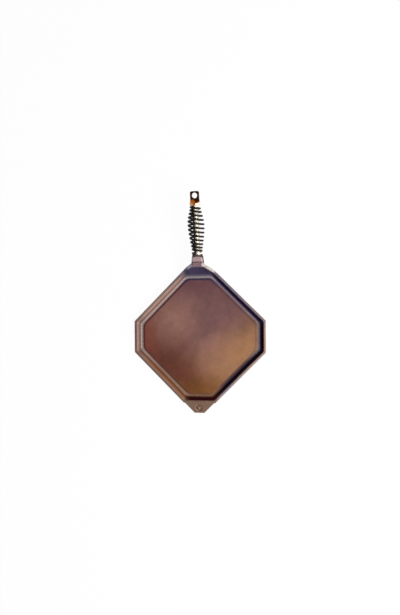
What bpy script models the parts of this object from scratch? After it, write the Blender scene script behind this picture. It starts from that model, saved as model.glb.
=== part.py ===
"""Square cast-iron griddle carried at one corner, with a wound wire grip on a rising handle.

The pan is a square stood on its corner, its four corners cut off, with a raised cooking face, a gutter
round it and a sloping wall up to the rim. A neck at the handle corner holds a steel rod. A collar, a
barrel-shaped coil of wire and a seat slide over the rod, and a bronze hanging lug on its end clamps them.

Metres, +Z up, +Y towards the handle. The origin is the middle of the flat underside, below the point
where the square's diagonals cross.
"""

import math

import bmesh
import bpy
import numpy as np
from mathutils import Matrix, Vector

# Clearance between pieces that touch
FIT_GAP = 0.0003

# Pan, in plan
PAN_SIDE = 0.2660
CORNER_EDGE = 0.0722
HANDLE_EDGE = 0.0382
RIM_WIDTH = 0.0048
HANDLE_RIM_WIDTH = 0.0086
WALL_RUN = 0.0094
HANDLE_WALL_RUN = 0.0224
GUTTER_WIDTH = 0.0046
FACE_STEP_RUN = 0.0034
CORNER_RADIUS = 0.0050
CORNER_RADIUS_GROWTH = 0.75
HANDLE_CORNER_RADIUS = 0.0180

# Pan, in height
RIM_HEIGHT = 0.0150
GUTTER_FLOOR = 0.0045
FACE_HEIGHT = 0.0066
WALL_DRAFT = 0.0008
BASE_EDGE_RADIUS = 0.0018
RIM_OUTER_RADIUS = 0.0020
RIM_INNER_RADIUS = 0.0010
GUTTER_RADIUS = 0.0012

# Handle corner, where the sloping wall runs on above the rim and the outside leans out under the neck
HANDLE_UNDERCUT = 0.0215
RAMP_EASE = 0.12
RAMP_STEPS = 8
LEAST_RAMP_SHARE = 0.01

# Shoulders beside the crest, drawn in from the cut corner's straight line
SHOULDER_DRAW_IN = 0.0045
SHOULDER_PAD_MARGIN = 0.0003
SHOULDER_SWELL = 0.0110
SHOULDER_FADE = 0.0200
SHOULDER_DEPTH = 0.0360
SHOULDER_DEPTH_FADE = 0.0240

# Foot tab, opposite the handle, with a low domed boss in a round recess
TAB_TIP_WIDTH = 0.0225
TAB_INSET = 0.0020
TAB_THICKNESS = 0.0070
TAB_STEP = 0.0003
TAB_EDGE_RADIUS = 0.0010
TAB_CORNER_RADIUS = 0.0012
TAB_OVERLAP = 0.0038
RECESS_SETBACK = 0.0115
RECESS_DIAMETER = 0.0156
RECESS_DEPTH = 0.0009
RECESS_FLARE = 0.0006
BOSS_DIAMETER = 0.0100
BOSS_HEIGHT = 0.0010
BOSS_SEAT_DEPTH = 0.0008
BOSS_STEPS = 4

# Handle axis: how far beyond the pan and how far below its crest it leaves the neck, and how steeply
HANDLE_RISE = math.radians(13.5)
NECK_LENGTH = 0.0190
NECK_AXIS_DROP = 0.0053

# Neck: a flat-topped block that turns round just before its end
NECK_WIDTH = 0.0236
NECK_DEPTH = 0.0224
NECK_ROUND_LENGTH = 0.0042
NECK_TURN_LENGTH = 0.0024
NECK_EDGE_RADIUS = 0.0034
NECK_ROOT_WIDTH = 0.0266
NECK_ROOT_DEPTH = 0.0205
NECK_TOP_STEP = 0.0008
NECK_ROOT_SHARE = 0.62
NECK_ROOT_DEPTH_SHARE = 0.75
NECK_SHOULDER_STEP = 0.0010

# Raised pad where the neck runs out over the rim
PAD_WIDTH = 0.0214
PAD_STEP = 0.0017
PAD_SEAT_DEPTH = 0.0024
PAD_SETBACK = 0.0005
PAD_EDGE_CHAMFER = 0.0005
PAD_CORNER_RADIUS = 0.0012

# Steel rod through the grip
ROD_DIAMETER = 0.0140
ROD_ROOT_DIAMETER = 0.0100
ROD_ROOT_LENGTH = 0.0160
ROD_STUD_DIAMETER = 0.0080
ROD_STUD_LENGTH = 0.0067
ROD_CHAMFER = 0.0008

# Pins that lock the rod in the neck and the lug on the rod
NECK_PIN_DIAMETER = 0.0032
NECK_PIN_SETBACK = 0.0085
LUG_PIN_DIAMETER = 0.0024
LUG_PIN_OFFSET = 0.0032
PIN_RECESS = 0.0005

# Collar and seat at the two ends of the coil, each with a stop for the wire's end
COLLAR_DIAMETER = 0.0252
COLLAR_THICKNESS = 0.0035
SEAT_THICKNESS = 0.0015
EDGE_CHAMFER = 0.0005
STOP_WIDTH = 0.0018
STOP_HEIGHT = 0.0028
STOP_DEPTH = 0.0022
STOP_INSET = 0.0008

# Coil of the grip
WIRE_DIAMETER = 0.0040
COIL_TURNS = 12
COIL_LENGTH = 0.0997
COIL_ROD_GAP = 0.0010
COIL_WIDEST_DIAMETER = 0.0380
COIL_WIDEST_AT = 0.0610
COIL_LOWER_FULLNESS = 1.25
COIL_UPPER_FULLNESS = 1.60
COIL_END_GAP = 0.0006
COIL_PITCH_FULLNESS = 0.45
COIL_LEAN = 0.095
POINTS_PER_TURN = 10

# Hanging lug
LUG_BASE_DIAMETER = 0.0240
LUG_BASE_HEIGHT = 0.0022
LUG_SHOULDER_LENGTH = 0.0104
LUG_LENGTH = 0.0291
LUG_TAB_WIDTH = 0.0200
LUG_TAB_THICKNESS = 0.0070
LUG_TAB_EDGE_RADIUS = 0.0016
LUG_END_RADIUS = 0.0042
LUG_END_ARC_SHARE = 0.96
LUG_SHOULDER_FULLNESS = 1.9
LUG_HOLE_DIAMETER = 0.0122
LUG_HOLE_FROM_END = 0.0094

# How far a tool body passes the surface that it cuts
CUT_OVERSHOOT = 0.0040

# Fineness of round shapes, and the largest share of a half width that a corner's radius may take
ROUND_SIDES = 40
PIN_SIDES = 16
ARC_STEPS = 4
SMOOTH_ANGLE = math.radians(32.0)
FULL_CORNER_SHARE = 0.999

# Reaches of the pan from its middle, from the widths of its cut corners and the tab's tip
PAN_DIAGONAL = PAN_SIDE / math.sqrt(2)
CORNER_REACH = PAN_DIAGONAL - CORNER_EDGE / 2
HANDLE_REACH = PAN_DIAGONAL - HANDLE_EDGE / 2
TAB_DIAGONAL = PAN_DIAGONAL - TAB_INSET * math.sqrt(2)
TAB_REACH = TAB_DIAGONAL - TAB_TIP_WIDTH / 2

# Seat flush with the lug, and coil over the rod
SEAT_DIAMETER = LUG_BASE_DIAMETER
COIL_END_DIAMETER = ROD_DIAMETER + 2 * (COIL_ROD_GAP + WIRE_DIAMETER)
COIL_END_PITCH = WIRE_DIAMETER + COIL_END_GAP

# Places along the handle axis, measured from the neck's end face
COLLAR_START = FIT_GAP
COLLAR_END = COLLAR_START + COLLAR_THICKNESS
COIL_START = COLLAR_END + FIT_GAP + WIRE_DIAMETER / 2
COIL_END = COIL_START + COIL_LENGTH
SEAT_START = COIL_END + WIRE_DIAMETER / 2 + FIT_GAP
SEAT_END = SEAT_START + SEAT_THICKNESS
LUG_START = SEAT_END + FIT_GAP
LUG_PIN_PLACE = LUG_START + LUG_PIN_OFFSET
LUG_END = LUG_START + LUG_LENGTH
LUG_HOLE_PLACE = LUG_END - LUG_HOLE_FROM_END

# Slope of the wall, the height that it reaches at the handle corner, and the neck's end face from there
WALL_SLOPE = (RIM_HEIGHT - GUTTER_FLOOR) / WALL_RUN
SHOULDER_RISE = WALL_SLOPE * (HANDLE_WALL_RUN - WALL_RUN)
CREST_HEIGHT = RIM_HEIGHT + SHOULDER_RISE
NECK_REACH = HANDLE_REACH + NECK_LENGTH
NECK_AXIS_HEIGHT = CREST_HEIGHT - NECK_AXIS_DROP


def rgb(red, green, blue):
    """Turns display values from 0 to 255 into the linear colour that a material holds."""
    return tuple(((channel / 255 + 0.055) / 1.055) ** 2.4 for channel in (red, green, blue)) + (1.0,)


def metal(name, colour, roughness, metallic):
    """Makes one plain material."""
    material = bpy.data.materials.new(name)
    material.use_nodes = True
    shader = material.node_tree.nodes["Principled BSDF"]
    shader.inputs["Base Color"].default_value = colour
    shader.inputs["Roughness"].default_value = roughness
    shader.inputs["Metallic"].default_value = metallic
    material.diffuse_color = colour
    return material


def place(name, data, material=None, parent=None):
    """Links an object to the scene, under the handle's empty if one is given."""
    item = bpy.data.objects.new(name, data)
    bpy.context.scene.collection.objects.link(item)
    if material:
        data.materials.append(material)
    item.parent = parent
    return item


def cutter(name, data, parent=None):
    """Places a tool body, which only shapes another piece."""
    item = place(name, data, parent=parent)
    item.hide_render = True
    item.display_type = "WIRE"
    return item


def combine(target, tool, operation):
    """Adds an exact Boolean modifier."""
    modifier = target.modifiers.new(operation.lower() + "_" + tool.name, "BOOLEAN")
    modifier.operation = operation
    modifier.solver = "EXACT"
    modifier.object = tool


def finish_mesh(name, shape):
    """Turns a bmesh into a mesh with outward faces, smooth but for its sharp edges."""
    bmesh.ops.recalc_face_normals(shape, faces=shape.faces)
    mesh = bpy.data.meshes.new(name)
    shape.to_mesh(mesh)
    shape.free()
    mesh.shade_smooth()
    mesh.set_sharp_from_angle(angle=SMOOTH_ANGLE)
    return mesh


def loft(name, rings):
    """Skins a row of rings that have equally many points, and closes both ends."""
    shape = bmesh.new()
    loops = [[shape.verts.new(point) for point in ring] for ring in rings]
    for lower, upper in zip(loops, loops[1:]):
        for index, start in enumerate(lower):
            after = (index + 1) % len(lower)
            shape.faces.new((start, lower[after], upper[after], upper[index]))
    shape.faces.new(list(reversed(loops[0])))
    shape.faces.new(loops[-1])
    return finish_mesh(name, shape)


def circle(radius, height, sides=ROUND_SIDES):
    """Points of a level circle round the local Z axis."""
    turns = [2 * math.pi * index / sides for index in range(sides)]
    return [Vector((radius * math.cos(turn), radius * math.sin(turn), height)) for turn in turns]


def rounded_outline(corners, radii, steps=ARC_STEPS):
    """Rounds each corner of a plan outline with an arc, and gives one list of points for each corner."""
    arcs = []
    for index, (corner, radius) in enumerate(zip(corners, radii)):
        to_last = (corners[index - 1] - corner).normalized()
        to_next = (corners[(index + 1) % len(corners)] - corner).normalized()
        half_angle = to_last.angle(to_next) / 2
        centre = corner + (to_last + to_next).normalized() * radius / math.sin(half_angle)
        first = corner + to_last * radius / math.tan(half_angle) - centre
        sweep = math.pi - 2 * half_angle
        turns = [Matrix.Rotation(sweep * step / steps, 2) for step in range(steps + 1)]
        arcs.append([centre + turn @ first for turn in turns])
    return arcs


def rounded_rectangle(half_width, half_height, radius):
    """Points round a rectangle with rounded corners, as (across, up) pairs."""
    corners = [Vector((half_width, half_height)), Vector((-half_width, half_height)),
               Vector((-half_width, -half_height)), Vector((half_width, -half_height))]
    limit = FULL_CORNER_SHARE * min(half_width, half_height)
    return [point for arc in rounded_outline(corners, [min(radius, limit)] * 4) for point in arc]


def eased(share):
    """Runs smoothly from 0 to 1."""
    share = min(max(share, 0.0), 1.0)
    return share * share * (3 - 2 * share)


def handle_inset(inset):
    """How far a line of the wall lies inside the rim at the handle corner, where the wall is longer."""
    knots = [0, RIM_WIDTH, RIM_WIDTH + WALL_RUN, RIM_WIDTH + WALL_RUN + GUTTER_WIDTH]
    at_handle = [0, HANDLE_RIM_WIDTH, HANDLE_RIM_WIDTH + HANDLE_WALL_RUN]
    at_handle.append(at_handle[-1] + GUTTER_WIDTH)
    if inset > knots[-1]:
        return at_handle[-1] + inset - knots[-1]
    return float(np.interp(inset, knots, at_handle))


def eased_ramp(share):
    """Rises from 0 to 1 along a straight line with a rounded foot and a rounded top."""
    from_end = min(share, 1 - share)
    if from_end < -RAMP_EASE:
        bent = 0.0
    elif from_end < RAMP_EASE:
        bent = (from_end + RAMP_EASE) ** 2 / (4 * RAMP_EASE)
    else:
        bent = from_end
    return bent if share < 0.5 else 1 - bent


def drawn_in(point, height):
    """Lifts a point of the plan to its height, and draws it in where it lies on a shoulder beside the crest."""
    beside = abs(point.x) - PAD_WIDTH / 2 - SHOULDER_PAD_MARGIN
    fade = min(max((beside - SHOULDER_SWELL) / SHOULDER_FADE, 0.0), 1.0)
    inwards = eased((point.y - HANDLE_REACH + SHOULDER_DEPTH) / SHOULDER_DEPTH_FADE)
    shift = SHOULDER_DRAW_IN * eased(beside / SHOULDER_SWELL) * (1 - fade) * inwards
    return Vector((point.x, point.y - shift, height))


def pan_ring(inset, height, share, undercut=0.0):
    """One closed line of the pan: the cut-cornered square, drawn in by inset and lifted at the handle.

    share says how much of the handle corner's lift the line takes, from 0 to 1. undercut draws the handle
    corner in where the line takes no lift.
    """
    diagonal = (PAN_SIDE / 2 - inset) * math.sqrt(2)
    cut = CORNER_REACH - inset
    reach = HANDLE_REACH - handle_inset(inset) - undercut * (1 - share)
    near, far = diagonal - cut, diagonal - reach
    corners = [Vector(pair) for pair in ((far, reach), (-far, reach), (-cut, near), (-cut, -near),
                                         (-near, -cut), (near, -cut), (cut, -near), (cut, near))]
    radius = CORNER_RADIUS + CORNER_RADIUS_GROWTH * inset
    arcs = rounded_outline(corners, [HANDLE_CORNER_RADIUS] * 2 + [radius] * 6)
    right_end, left_end = arcs[0][0], arcs[1][-1]
    ramp_foot = HANDLE_REACH - HANDLE_RIM_WIDTH - HANDLE_WALL_RUN + WALL_RUN
    ramp_foot += (RIM_WIDTH - inset) / math.sqrt(2)
    ramp_run = SHOULDER_RISE / WALL_SLOPE
    full_length = (left_end.y - ramp_foot + RAMP_EASE * ramp_run) * math.sqrt(2)
    length = max(LEAST_RAMP_SHARE * HANDLE_WALL_RUN, share * full_length)
    ramp = [length * step / RAMP_STEPS for step in range(1, RAMP_STEPS + 1)]
    left_ramp = [left_end + Vector((-1, -1)).normalized() * distance for distance in ramp]
    right_ramp = [right_end + Vector((1, -1)).normalized() * distance for distance in reversed(ramp)]
    plan = arcs[0] + arcs[1] + left_ramp
    plan += [point for arc in arcs[2:] for point in arc] + right_ramp
    return [drawn_in(point, height + share * SHOULDER_RISE * eased_ramp((point.y - ramp_foot) / ramp_run))
            for point in plan]


def arc_profile(centre_inset, centre_height, radius, start, end):
    """Points of a rounded edge in the pan's section, as (inset, height) pairs."""
    turns = [math.radians(start + (end - start) * step / ARC_STEPS) for step in range(ARC_STEPS + 1)]
    return [(centre_inset - radius * math.cos(turn), centre_height + radius * math.sin(turn))
            for turn in turns]


def pan_section():
    """The pan's section: underside, outer wall, rim, sloping wall, gutter and the step up to the face."""
    base = arc_profile(WALL_DRAFT + BASE_EDGE_RADIUS, BASE_EDGE_RADIUS, BASE_EDGE_RADIUS, -90, 0)
    rim = arc_profile(RIM_OUTER_RADIUS, RIM_HEIGHT - RIM_OUTER_RADIUS, RIM_OUTER_RADIUS, 0, 90)
    slope = math.degrees(math.atan2(RIM_HEIGHT - GUTTER_FLOOR, WALL_RUN))
    rim += arc_profile(RIM_WIDTH - RIM_INNER_RADIUS, RIM_HEIGHT - RIM_INNER_RADIUS, RIM_INNER_RADIUS,
                       90, 180 - slope)
    wall_foot = RIM_WIDTH + WALL_RUN
    bend = GUTTER_RADIUS * math.tan(math.radians(slope) / 2)
    turns = [math.radians(slope) * (1 - step / ARC_STEPS) for step in range(ARC_STEPS + 1)]
    foot = [(wall_foot + bend - GUTTER_RADIUS * math.sin(turn),
             GUTTER_FLOOR + GUTTER_RADIUS * (1 - math.cos(turn))) for turn in turns]
    step_foot = wall_foot + GUTTER_WIDTH
    rise = FACE_HEIGHT - GUTTER_FLOOR
    step_up = [(step_foot + FACE_STEP_RUN * share, GUTTER_FLOOR + rise * eased(share))
               for share in (step / ARC_STEPS for step in range(ARC_STEPS + 1))]
    return base, rim, foot + step_up


def build_pan(name):
    """The pan without its neck, tab and bores."""
    base, rim, inside = pan_section()
    rings = []
    for inset, height in base + rim:
        rings.append(pan_ring(inset, height, height / RIM_HEIGHT, HANDLE_UNDERCUT))
    for inset, height in inside:
        over_gutter = max(0.0, RIM_WIDTH + WALL_RUN - inset) / WALL_RUN
        rings.append(pan_ring(inset, height, over_gutter))
    return loft(name, rings)


def neck_ring(middle, half_width, half_depth, radius, lean):
    """One cross-section of the neck round a point of the YZ plane, its top leaned back by lean."""
    reach, height = middle
    return [Vector((across, reach - up * math.sin(lean), height + up * math.cos(lean)))
            for across, up in rounded_rectangle(half_width, half_depth, radius)]


def along_axis(distance):
    """A point of the handle's axis, as (reach, height), at a distance from the neck's end face."""
    return (NECK_REACH + distance * math.cos(HANDLE_RISE),
            NECK_AXIS_HEIGHT + distance * math.sin(HANDLE_RISE))


def build_neck(name):
    """The neck, from inside the sloping wall of the handle corner to the round face that the rod leaves."""
    gutter_reach = HANDLE_REACH - HANDLE_RIM_WIDTH - HANDLE_WALL_RUN
    inner_foot = Vector((gutter_reach, GUTTER_FLOOR))
    inner = inner_foot.lerp(Vector((gutter_reach + HANDLE_WALL_RUN, CREST_HEIGHT)), NECK_ROOT_SHARE)
    outer_foot = Vector((HANDLE_REACH - HANDLE_UNDERCUT, 0))
    outer = outer_foot.lerp(Vector((HANDLE_REACH, CREST_HEIGHT)), NECK_ROOT_SHARE)
    wall_lean = math.atan(WALL_SLOPE) - math.pi / 2
    root_depth = (outer - inner).length * NECK_ROOT_DEPTH_SHARE
    top = CREST_HEIGHT + NECK_TOP_STEP
    shoulder = (HANDLE_REACH + NECK_SHOULDER_STEP, top - NECK_ROOT_DEPTH / 2)
    block_end = -NECK_ROUND_LENGTH - NECK_TURN_LENGTH
    wide, deep = NECK_WIDTH / 2, NECK_DEPTH / 2
    rings = [neck_ring((inner + outer) / 2, NECK_ROOT_WIDTH / 2, root_depth, NECK_EDGE_RADIUS, wall_lean),
             neck_ring(shoulder, NECK_ROOT_WIDTH / 2, NECK_ROOT_DEPTH / 2, NECK_EDGE_RADIUS, 0.0),
             neck_ring(along_axis(block_end), wide, deep, NECK_EDGE_RADIUS, HANDLE_RISE),
             neck_ring(along_axis(-NECK_ROUND_LENGTH), wide, deep, deep, HANDLE_RISE),
             neck_ring(along_axis(0), wide, deep, deep, HANDLE_RISE)]
    return loft(name, rings)


def build_pad(name):
    """A low block as wide as the neck's flat top, as long as the handle corner's rim is wide."""
    length = HANDLE_RIM_WIDTH - 2 * PAD_SETBACK
    middle = HANDLE_REACH - HANDLE_RIM_WIDTH / 2
    top = CREST_HEIGHT + PAD_STEP
    levels = ((CREST_HEIGHT - PAD_SEAT_DEPTH, 0), (top - PAD_EDGE_CHAMFER, 0), (top, PAD_EDGE_CHAMFER))
    rings = []
    for height, drawn_in in levels:
        outline = rounded_rectangle(PAD_WIDTH / 2 - drawn_in, length / 2 - drawn_in, PAD_CORNER_RADIUS)
        rings.append([Vector((across, middle + back, height)) for across, back in outline])
    return loft(name, rings)


def build_tab(name):
    """The flat tab at rim height, opposite the handle."""
    root, tip = CORNER_REACH - TAB_OVERLAP, TAB_TIP_WIDTH / 2
    corners = [Vector(pair) for pair in ((TAB_DIAGONAL - root, -root), (root - TAB_DIAGONAL, -root),
                                         (-tip, -TAB_REACH), (tip, -TAB_REACH))]
    plan = [point for arc in rounded_outline(corners, [TAB_CORNER_RADIUS] * 4) for point in arc]
    top = RIM_HEIGHT + TAB_STEP
    edge = TAB_EDGE_RADIUS
    middle = Vector((0, -(root + TAB_REACH) / 2))

    def level(height, drawn_in):
        """The plan at one height, its sides moved in towards the middle."""
        return [Vector((*(point - (point - middle).normalized() * drawn_in), height)) for point in plan]

    steps = [math.pi / 2 * step / ARC_STEPS for step in range(ARC_STEPS + 1)]
    rings = [level(top - TAB_THICKNESS + edge * (1 - math.sin(turn)), edge * (1 - math.cos(turn)))
             for turn in reversed(steps)]
    rings += [level(top - edge + edge * math.sin(turn), edge * (1 - math.cos(turn))) for turn in steps]
    return loft(name, rings)


def build_recess(name):
    """A tool for the tab's round recess, standing on its floor and flared towards the top."""
    radius = RECESS_DIAMETER / 2
    return loft(name, [circle(radius - RECESS_FLARE, 0), circle(radius, RECESS_DEPTH),
                       circle(radius, RECESS_DEPTH + CUT_OVERSHOOT)])


def build_boss(name):
    """A low dome that stands on the recess's floor."""
    radius = BOSS_DIAMETER / 2
    turns = [math.pi / 2 * step / (BOSS_STEPS + 1) for step in range(BOSS_STEPS + 1)]
    dome = [circle(radius * math.cos(turn), BOSS_HEIGHT * math.sin(turn)) for turn in turns]
    return loft(name, [circle(radius, -BOSS_SEAT_DEPTH)] + dome)


def build_casting(handle, iron):
    """The one iron casting: pan, neck, pad and tab, bored for the rod and its pin."""
    casting = place("griddle_casting", build_pan("griddle_casting"), iron)
    combine(casting, cutter("pad_body", build_pad("pad_body")), "UNION")
    combine(casting, cutter("neck_body", build_neck("neck_body")), "UNION")
    combine(casting, cutter("tab_body", build_tab("tab_body")), "UNION")
    for tool, operation in ((build_recess("tab_recess"), "DIFFERENCE"), (build_boss("tab_boss"), "UNION")):
        body = cutter(tool.name, tool)
        body.location = (0, RECESS_SETBACK - TAB_REACH, RIM_HEIGHT + TAB_STEP - RECESS_DEPTH)
        combine(casting, body, operation)
    bore = ROD_ROOT_DIAMETER / 2 + FIT_GAP
    socket = loft("neck_socket", [circle(bore, -ROD_ROOT_LENGTH - FIT_GAP), circle(bore, CUT_OVERSHOOT)])
    combine(casting, cutter("neck_socket", socket, handle), "DIFFERENCE")
    pin_hole = cross_hole("neck_pin_hole", NECK_PIN_DIAMETER, -NECK_PIN_SETBACK, NECK_ROOT_WIDTH, handle)
    combine(casting, pin_hole, "DIFFERENCE")


def cross_cylinder(name, diameter, length):
    """A cylinder that lies across the handle, along X."""
    mesh = loft(name, [circle(diameter / 2, end * length / 2, PIN_SIDES) for end in (-1, 1)])
    mesh.transform(Matrix.Rotation(math.pi / 2, 4, "Y"))
    return mesh


def cross_hole(name, pin_diameter, place_along, width, handle):
    """A tool for a pin's hole, right through a body of the given width."""
    mesh = cross_cylinder(name, pin_diameter + 2 * FIT_GAP, width + 2 * CUT_OVERSHOOT)
    tool = cutter(name, mesh, handle)
    tool.location = (0, 0, place_along)
    return tool


def build_pin(name, diameter, place_along, width, handle, steel):
    """A lock pin that ends just under the surface at each side."""
    pin = place(name, cross_cylinder(name, diameter, width - 2 * PIN_RECESS), steel, handle)
    pin.location = (0, 0, place_along)


def build_rod(handle, steel):
    """The rod: a root in the neck, a thick core under the coil, and a stud in the lug."""
    core, root, stud = ROD_DIAMETER / 2, ROD_ROOT_DIAMETER / 2, ROD_STUD_DIAMETER / 2
    rings = [circle(root - ROD_CHAMFER, -ROD_ROOT_LENGTH), circle(root, -ROD_ROOT_LENGTH + ROD_CHAMFER),
             circle(root, FIT_GAP), circle(core, FIT_GAP), circle(core, SEAT_END), circle(stud, SEAT_END),
             circle(stud, SEAT_END + ROD_STUD_LENGTH - ROD_CHAMFER),
             circle(stud - ROD_CHAMFER, SEAT_END + ROD_STUD_LENGTH)]
    rod = place("handle_rod", loft("handle_rod", rings), steel, handle)
    root_hole = cross_hole("rod_root_hole", NECK_PIN_DIAMETER, -NECK_PIN_SETBACK, ROD_ROOT_DIAMETER, handle)
    combine(rod, root_hole, "DIFFERENCE")
    stud_hole = cross_hole("rod_stud_hole", LUG_PIN_DIAMETER, LUG_PIN_PLACE, ROD_STUD_DIAMETER, handle)
    combine(rod, stud_hole, "DIFFERENCE")


def seat_ring(name, diameter, thickness):
    """A flat ring that slides over the rod, with chamfered outer edges."""
    outer, bore = diameter / 2, ROD_DIAMETER / 2 + FIT_GAP
    flat = outer - EDGE_CHAMFER
    outline = [(bore, 0), (flat, 0), (outer, EDGE_CHAMFER), (outer, thickness - EDGE_CHAMFER),
               (flat, thickness), (bore, thickness)]
    shape = bmesh.new()
    points = [shape.verts.new((radius, 0, height)) for radius, height in outline]
    edges = [shape.edges.new(pair) for pair in zip(points, points[1:] + points[:1])]
    bmesh.ops.spin(shape, geom=points + edges, cent=(0, 0, 0), axis=(0, 0, 1), angle=2 * math.pi,
                   steps=ROUND_SIDES, use_merge=True)
    return finish_mesh(name, shape)


def wire_stop(name, side, face, towards, handle):
    """The block that the wire's straight end butts against, standing on a ring's face under the rod."""
    half_width, half_depth, overlap = STOP_WIDTH / 2, STOP_DEPTH / 2, EDGE_CHAMFER
    low, high = sorted((face - towards * overlap, face + towards * STOP_HEIGHT))
    across = side * (WIRE_DIAMETER + FIT_GAP + half_width)
    down = (COIL_END_DIAMETER - WIRE_DIAMETER) / 2 - STOP_INSET
    ring = [(across + x, down + y) for x, y in ((-half_width, -half_depth), (half_width, -half_depth),
                                                (half_width, half_depth), (-half_width, half_depth))]
    mesh = loft(name, [[Vector((x, y, height)) for x, y in ring] for height in (low, high)])
    return cutter(name, mesh, handle)


def build_collar(handle, steel):
    """The collar between the neck and the coil."""
    ring = seat_ring("lower_collar", COLLAR_DIAMETER, COLLAR_THICKNESS)
    collar = place("lower_collar", ring, steel, handle)
    collar.location = (0, 0, COLLAR_START)
    combine(collar, wire_stop("collar_stop", -1, COLLAR_END, 1, handle), "UNION")


def build_seat(handle, steel):
    """The thin seat between the coil and the lug."""
    seat = place("upper_seat", seat_ring("upper_seat", SEAT_DIAMETER, SEAT_THICKNESS), steel, handle)
    seat.location = (0, 0, SEAT_START)
    combine(seat, wire_stop("seat_stop", 1, SEAT_START, -1, handle), "UNION")


def coil_points():
    """The wire's centre line: a left-hand barrel coil that starts and ends under the rod.

    The turns lean over towards the left in the middle of the coil.
    """
    steps = COIL_TURNS * POINTS_PER_TURN
    share = np.linspace(0, 1, steps + 1)
    middles = (share[1:] + share[:-1]) / 2
    swell = np.sin(np.pi * middles) ** COIL_PITCH_FULLNESS
    mean_pitch = COIL_LENGTH / COIL_TURNS
    pitch = COIL_END_PITCH + (mean_pitch - COIL_END_PITCH) * swell / swell.mean()
    along = np.concatenate(([0], np.cumsum(pitch) / POINTS_PER_TURN))
    lower = np.sin(np.pi / 2 * np.clip(along / COIL_WIDEST_AT, 0, 1)) ** COIL_LOWER_FULLNESS
    from_end = np.clip((COIL_LENGTH - along) / (COIL_LENGTH - COIL_WIDEST_AT), 0, 1)
    upper = np.sin(np.pi / 2 * from_end) ** COIL_UPPER_FULLNESS
    full = np.where(along < COIL_WIDEST_AT, lower, upper)
    radius = (COIL_END_DIAMETER + (COIL_WIDEST_DIAMETER - COIL_END_DIAMETER) * full - WIRE_DIAMETER) / 2
    turn = 2 * np.pi * COIL_TURNS * share - np.pi / 2
    across = radius * np.cos(turn)
    leaned = along - COIL_LEAN * across * np.sin(np.pi * share)
    points = np.stack((across, -radius * np.sin(turn), COIL_START + leaned), axis=1)
    tail = np.array((WIRE_DIAMETER, 0, 0))
    return np.vstack((points[0] - tail, points, points[-1] + tail))


def least_gap(points):
    """The least space from the wire to its own next turn, between points half a turn apart or more."""
    apart = POINTS_PER_TURN // 2
    gaps = [np.linalg.norm(points[index + apart:] - point, axis=1).min()
            for index, point in enumerate(points[:-apart])]
    return min(gaps) - WIRE_DIAMETER


def build_coil(handle, steel):
    """The wound grip, one unbroken wire."""
    points = coil_points()
    print(f"coil: least gap to itself {least_gap(points) * 1000:.2f} mm")
    curve = bpy.data.curves.new("coil_grip", "CURVE")
    curve.dimensions = "3D"
    curve.bevel_depth = WIRE_DIAMETER / 2
    curve.bevel_resolution = 1
    curve.use_fill_caps = True
    spline = curve.splines.new("POLY")
    spline.points.add(len(points) - 1)
    for target, point in zip(spline.points, points):
        target.co = (*point, 1)
    place("coil_grip", curve, steel, handle)


def lug_ring(height, half_width, half_thickness, radius):
    """One cross-section of the lug, square to the handle."""
    outline = rounded_rectangle(half_width, half_thickness, radius)
    return [Vector((across, up, height)) for across, up in outline]


def build_lug(handle, bronze):
    """The hanging lug: a round base, a hollow shoulder and a flat tab with a hole."""
    base, tab, thick = LUG_BASE_DIAMETER / 2, LUG_TAB_WIDTH / 2, LUG_TAB_THICKNESS / 2
    rings = [lug_ring(LUG_START, base - EDGE_CHAMFER, base - EDGE_CHAMFER, base),
             lug_ring(LUG_START + EDGE_CHAMFER, base, base, base)]
    shoulder = LUG_START + LUG_BASE_HEIGHT
    steps = 2 * ARC_STEPS
    for step in range(steps + 1):
        left = (1 - step / steps) ** LUG_SHOULDER_FULLNESS
        radius = LUG_TAB_EDGE_RADIUS + (base - LUG_TAB_EDGE_RADIUS) * left
        rings.append(lug_ring(shoulder + LUG_SHOULDER_LENGTH * step / steps, tab + (base - tab) * left,
                              thick + (base - thick) * left, radius))
    for step in range(steps + 1):
        turn = math.pi / 2 * LUG_END_ARC_SHARE * step / steps
        drawn_in = LUG_END_RADIUS * (1 - math.cos(turn))
        rings.append(lug_ring(LUG_END - LUG_END_RADIUS * (1 - math.sin(turn)), tab - drawn_in, thick,
                              LUG_TAB_EDGE_RADIUS))
    lug = place("hanging_lug", loft("hanging_lug", rings), bronze, handle)
    bore = ROD_STUD_DIAMETER / 2 + FIT_GAP
    socket = loft("lug_socket", [circle(bore, -CUT_OVERSHOOT), circle(bore, ROD_STUD_LENGTH)])
    socket_tool = cutter("lug_socket", socket, handle)
    socket_tool.location = (0, 0, LUG_START)
    combine(lug, socket_tool, "DIFFERENCE")
    pin_hole = cross_hole("lug_pin_hole", LUG_PIN_DIAMETER, LUG_PIN_PLACE, LUG_BASE_DIAMETER, handle)
    combine(lug, pin_hole, "DIFFERENCE")
    half_depth = LUG_TAB_THICKNESS / 2 + CUT_OVERSHOOT
    hole = loft("hanging_hole", [circle(LUG_HOLE_DIAMETER / 2, end * half_depth) for end in (-1, 1)])
    hole.transform(Matrix.Rotation(math.pi / 2, 4, "X"))
    hole_tool = cutter("hanging_hole", hole, handle)
    hole_tool.location = (0, 0, LUG_HOLE_PLACE)
    combine(lug, hole_tool, "DIFFERENCE")


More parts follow.
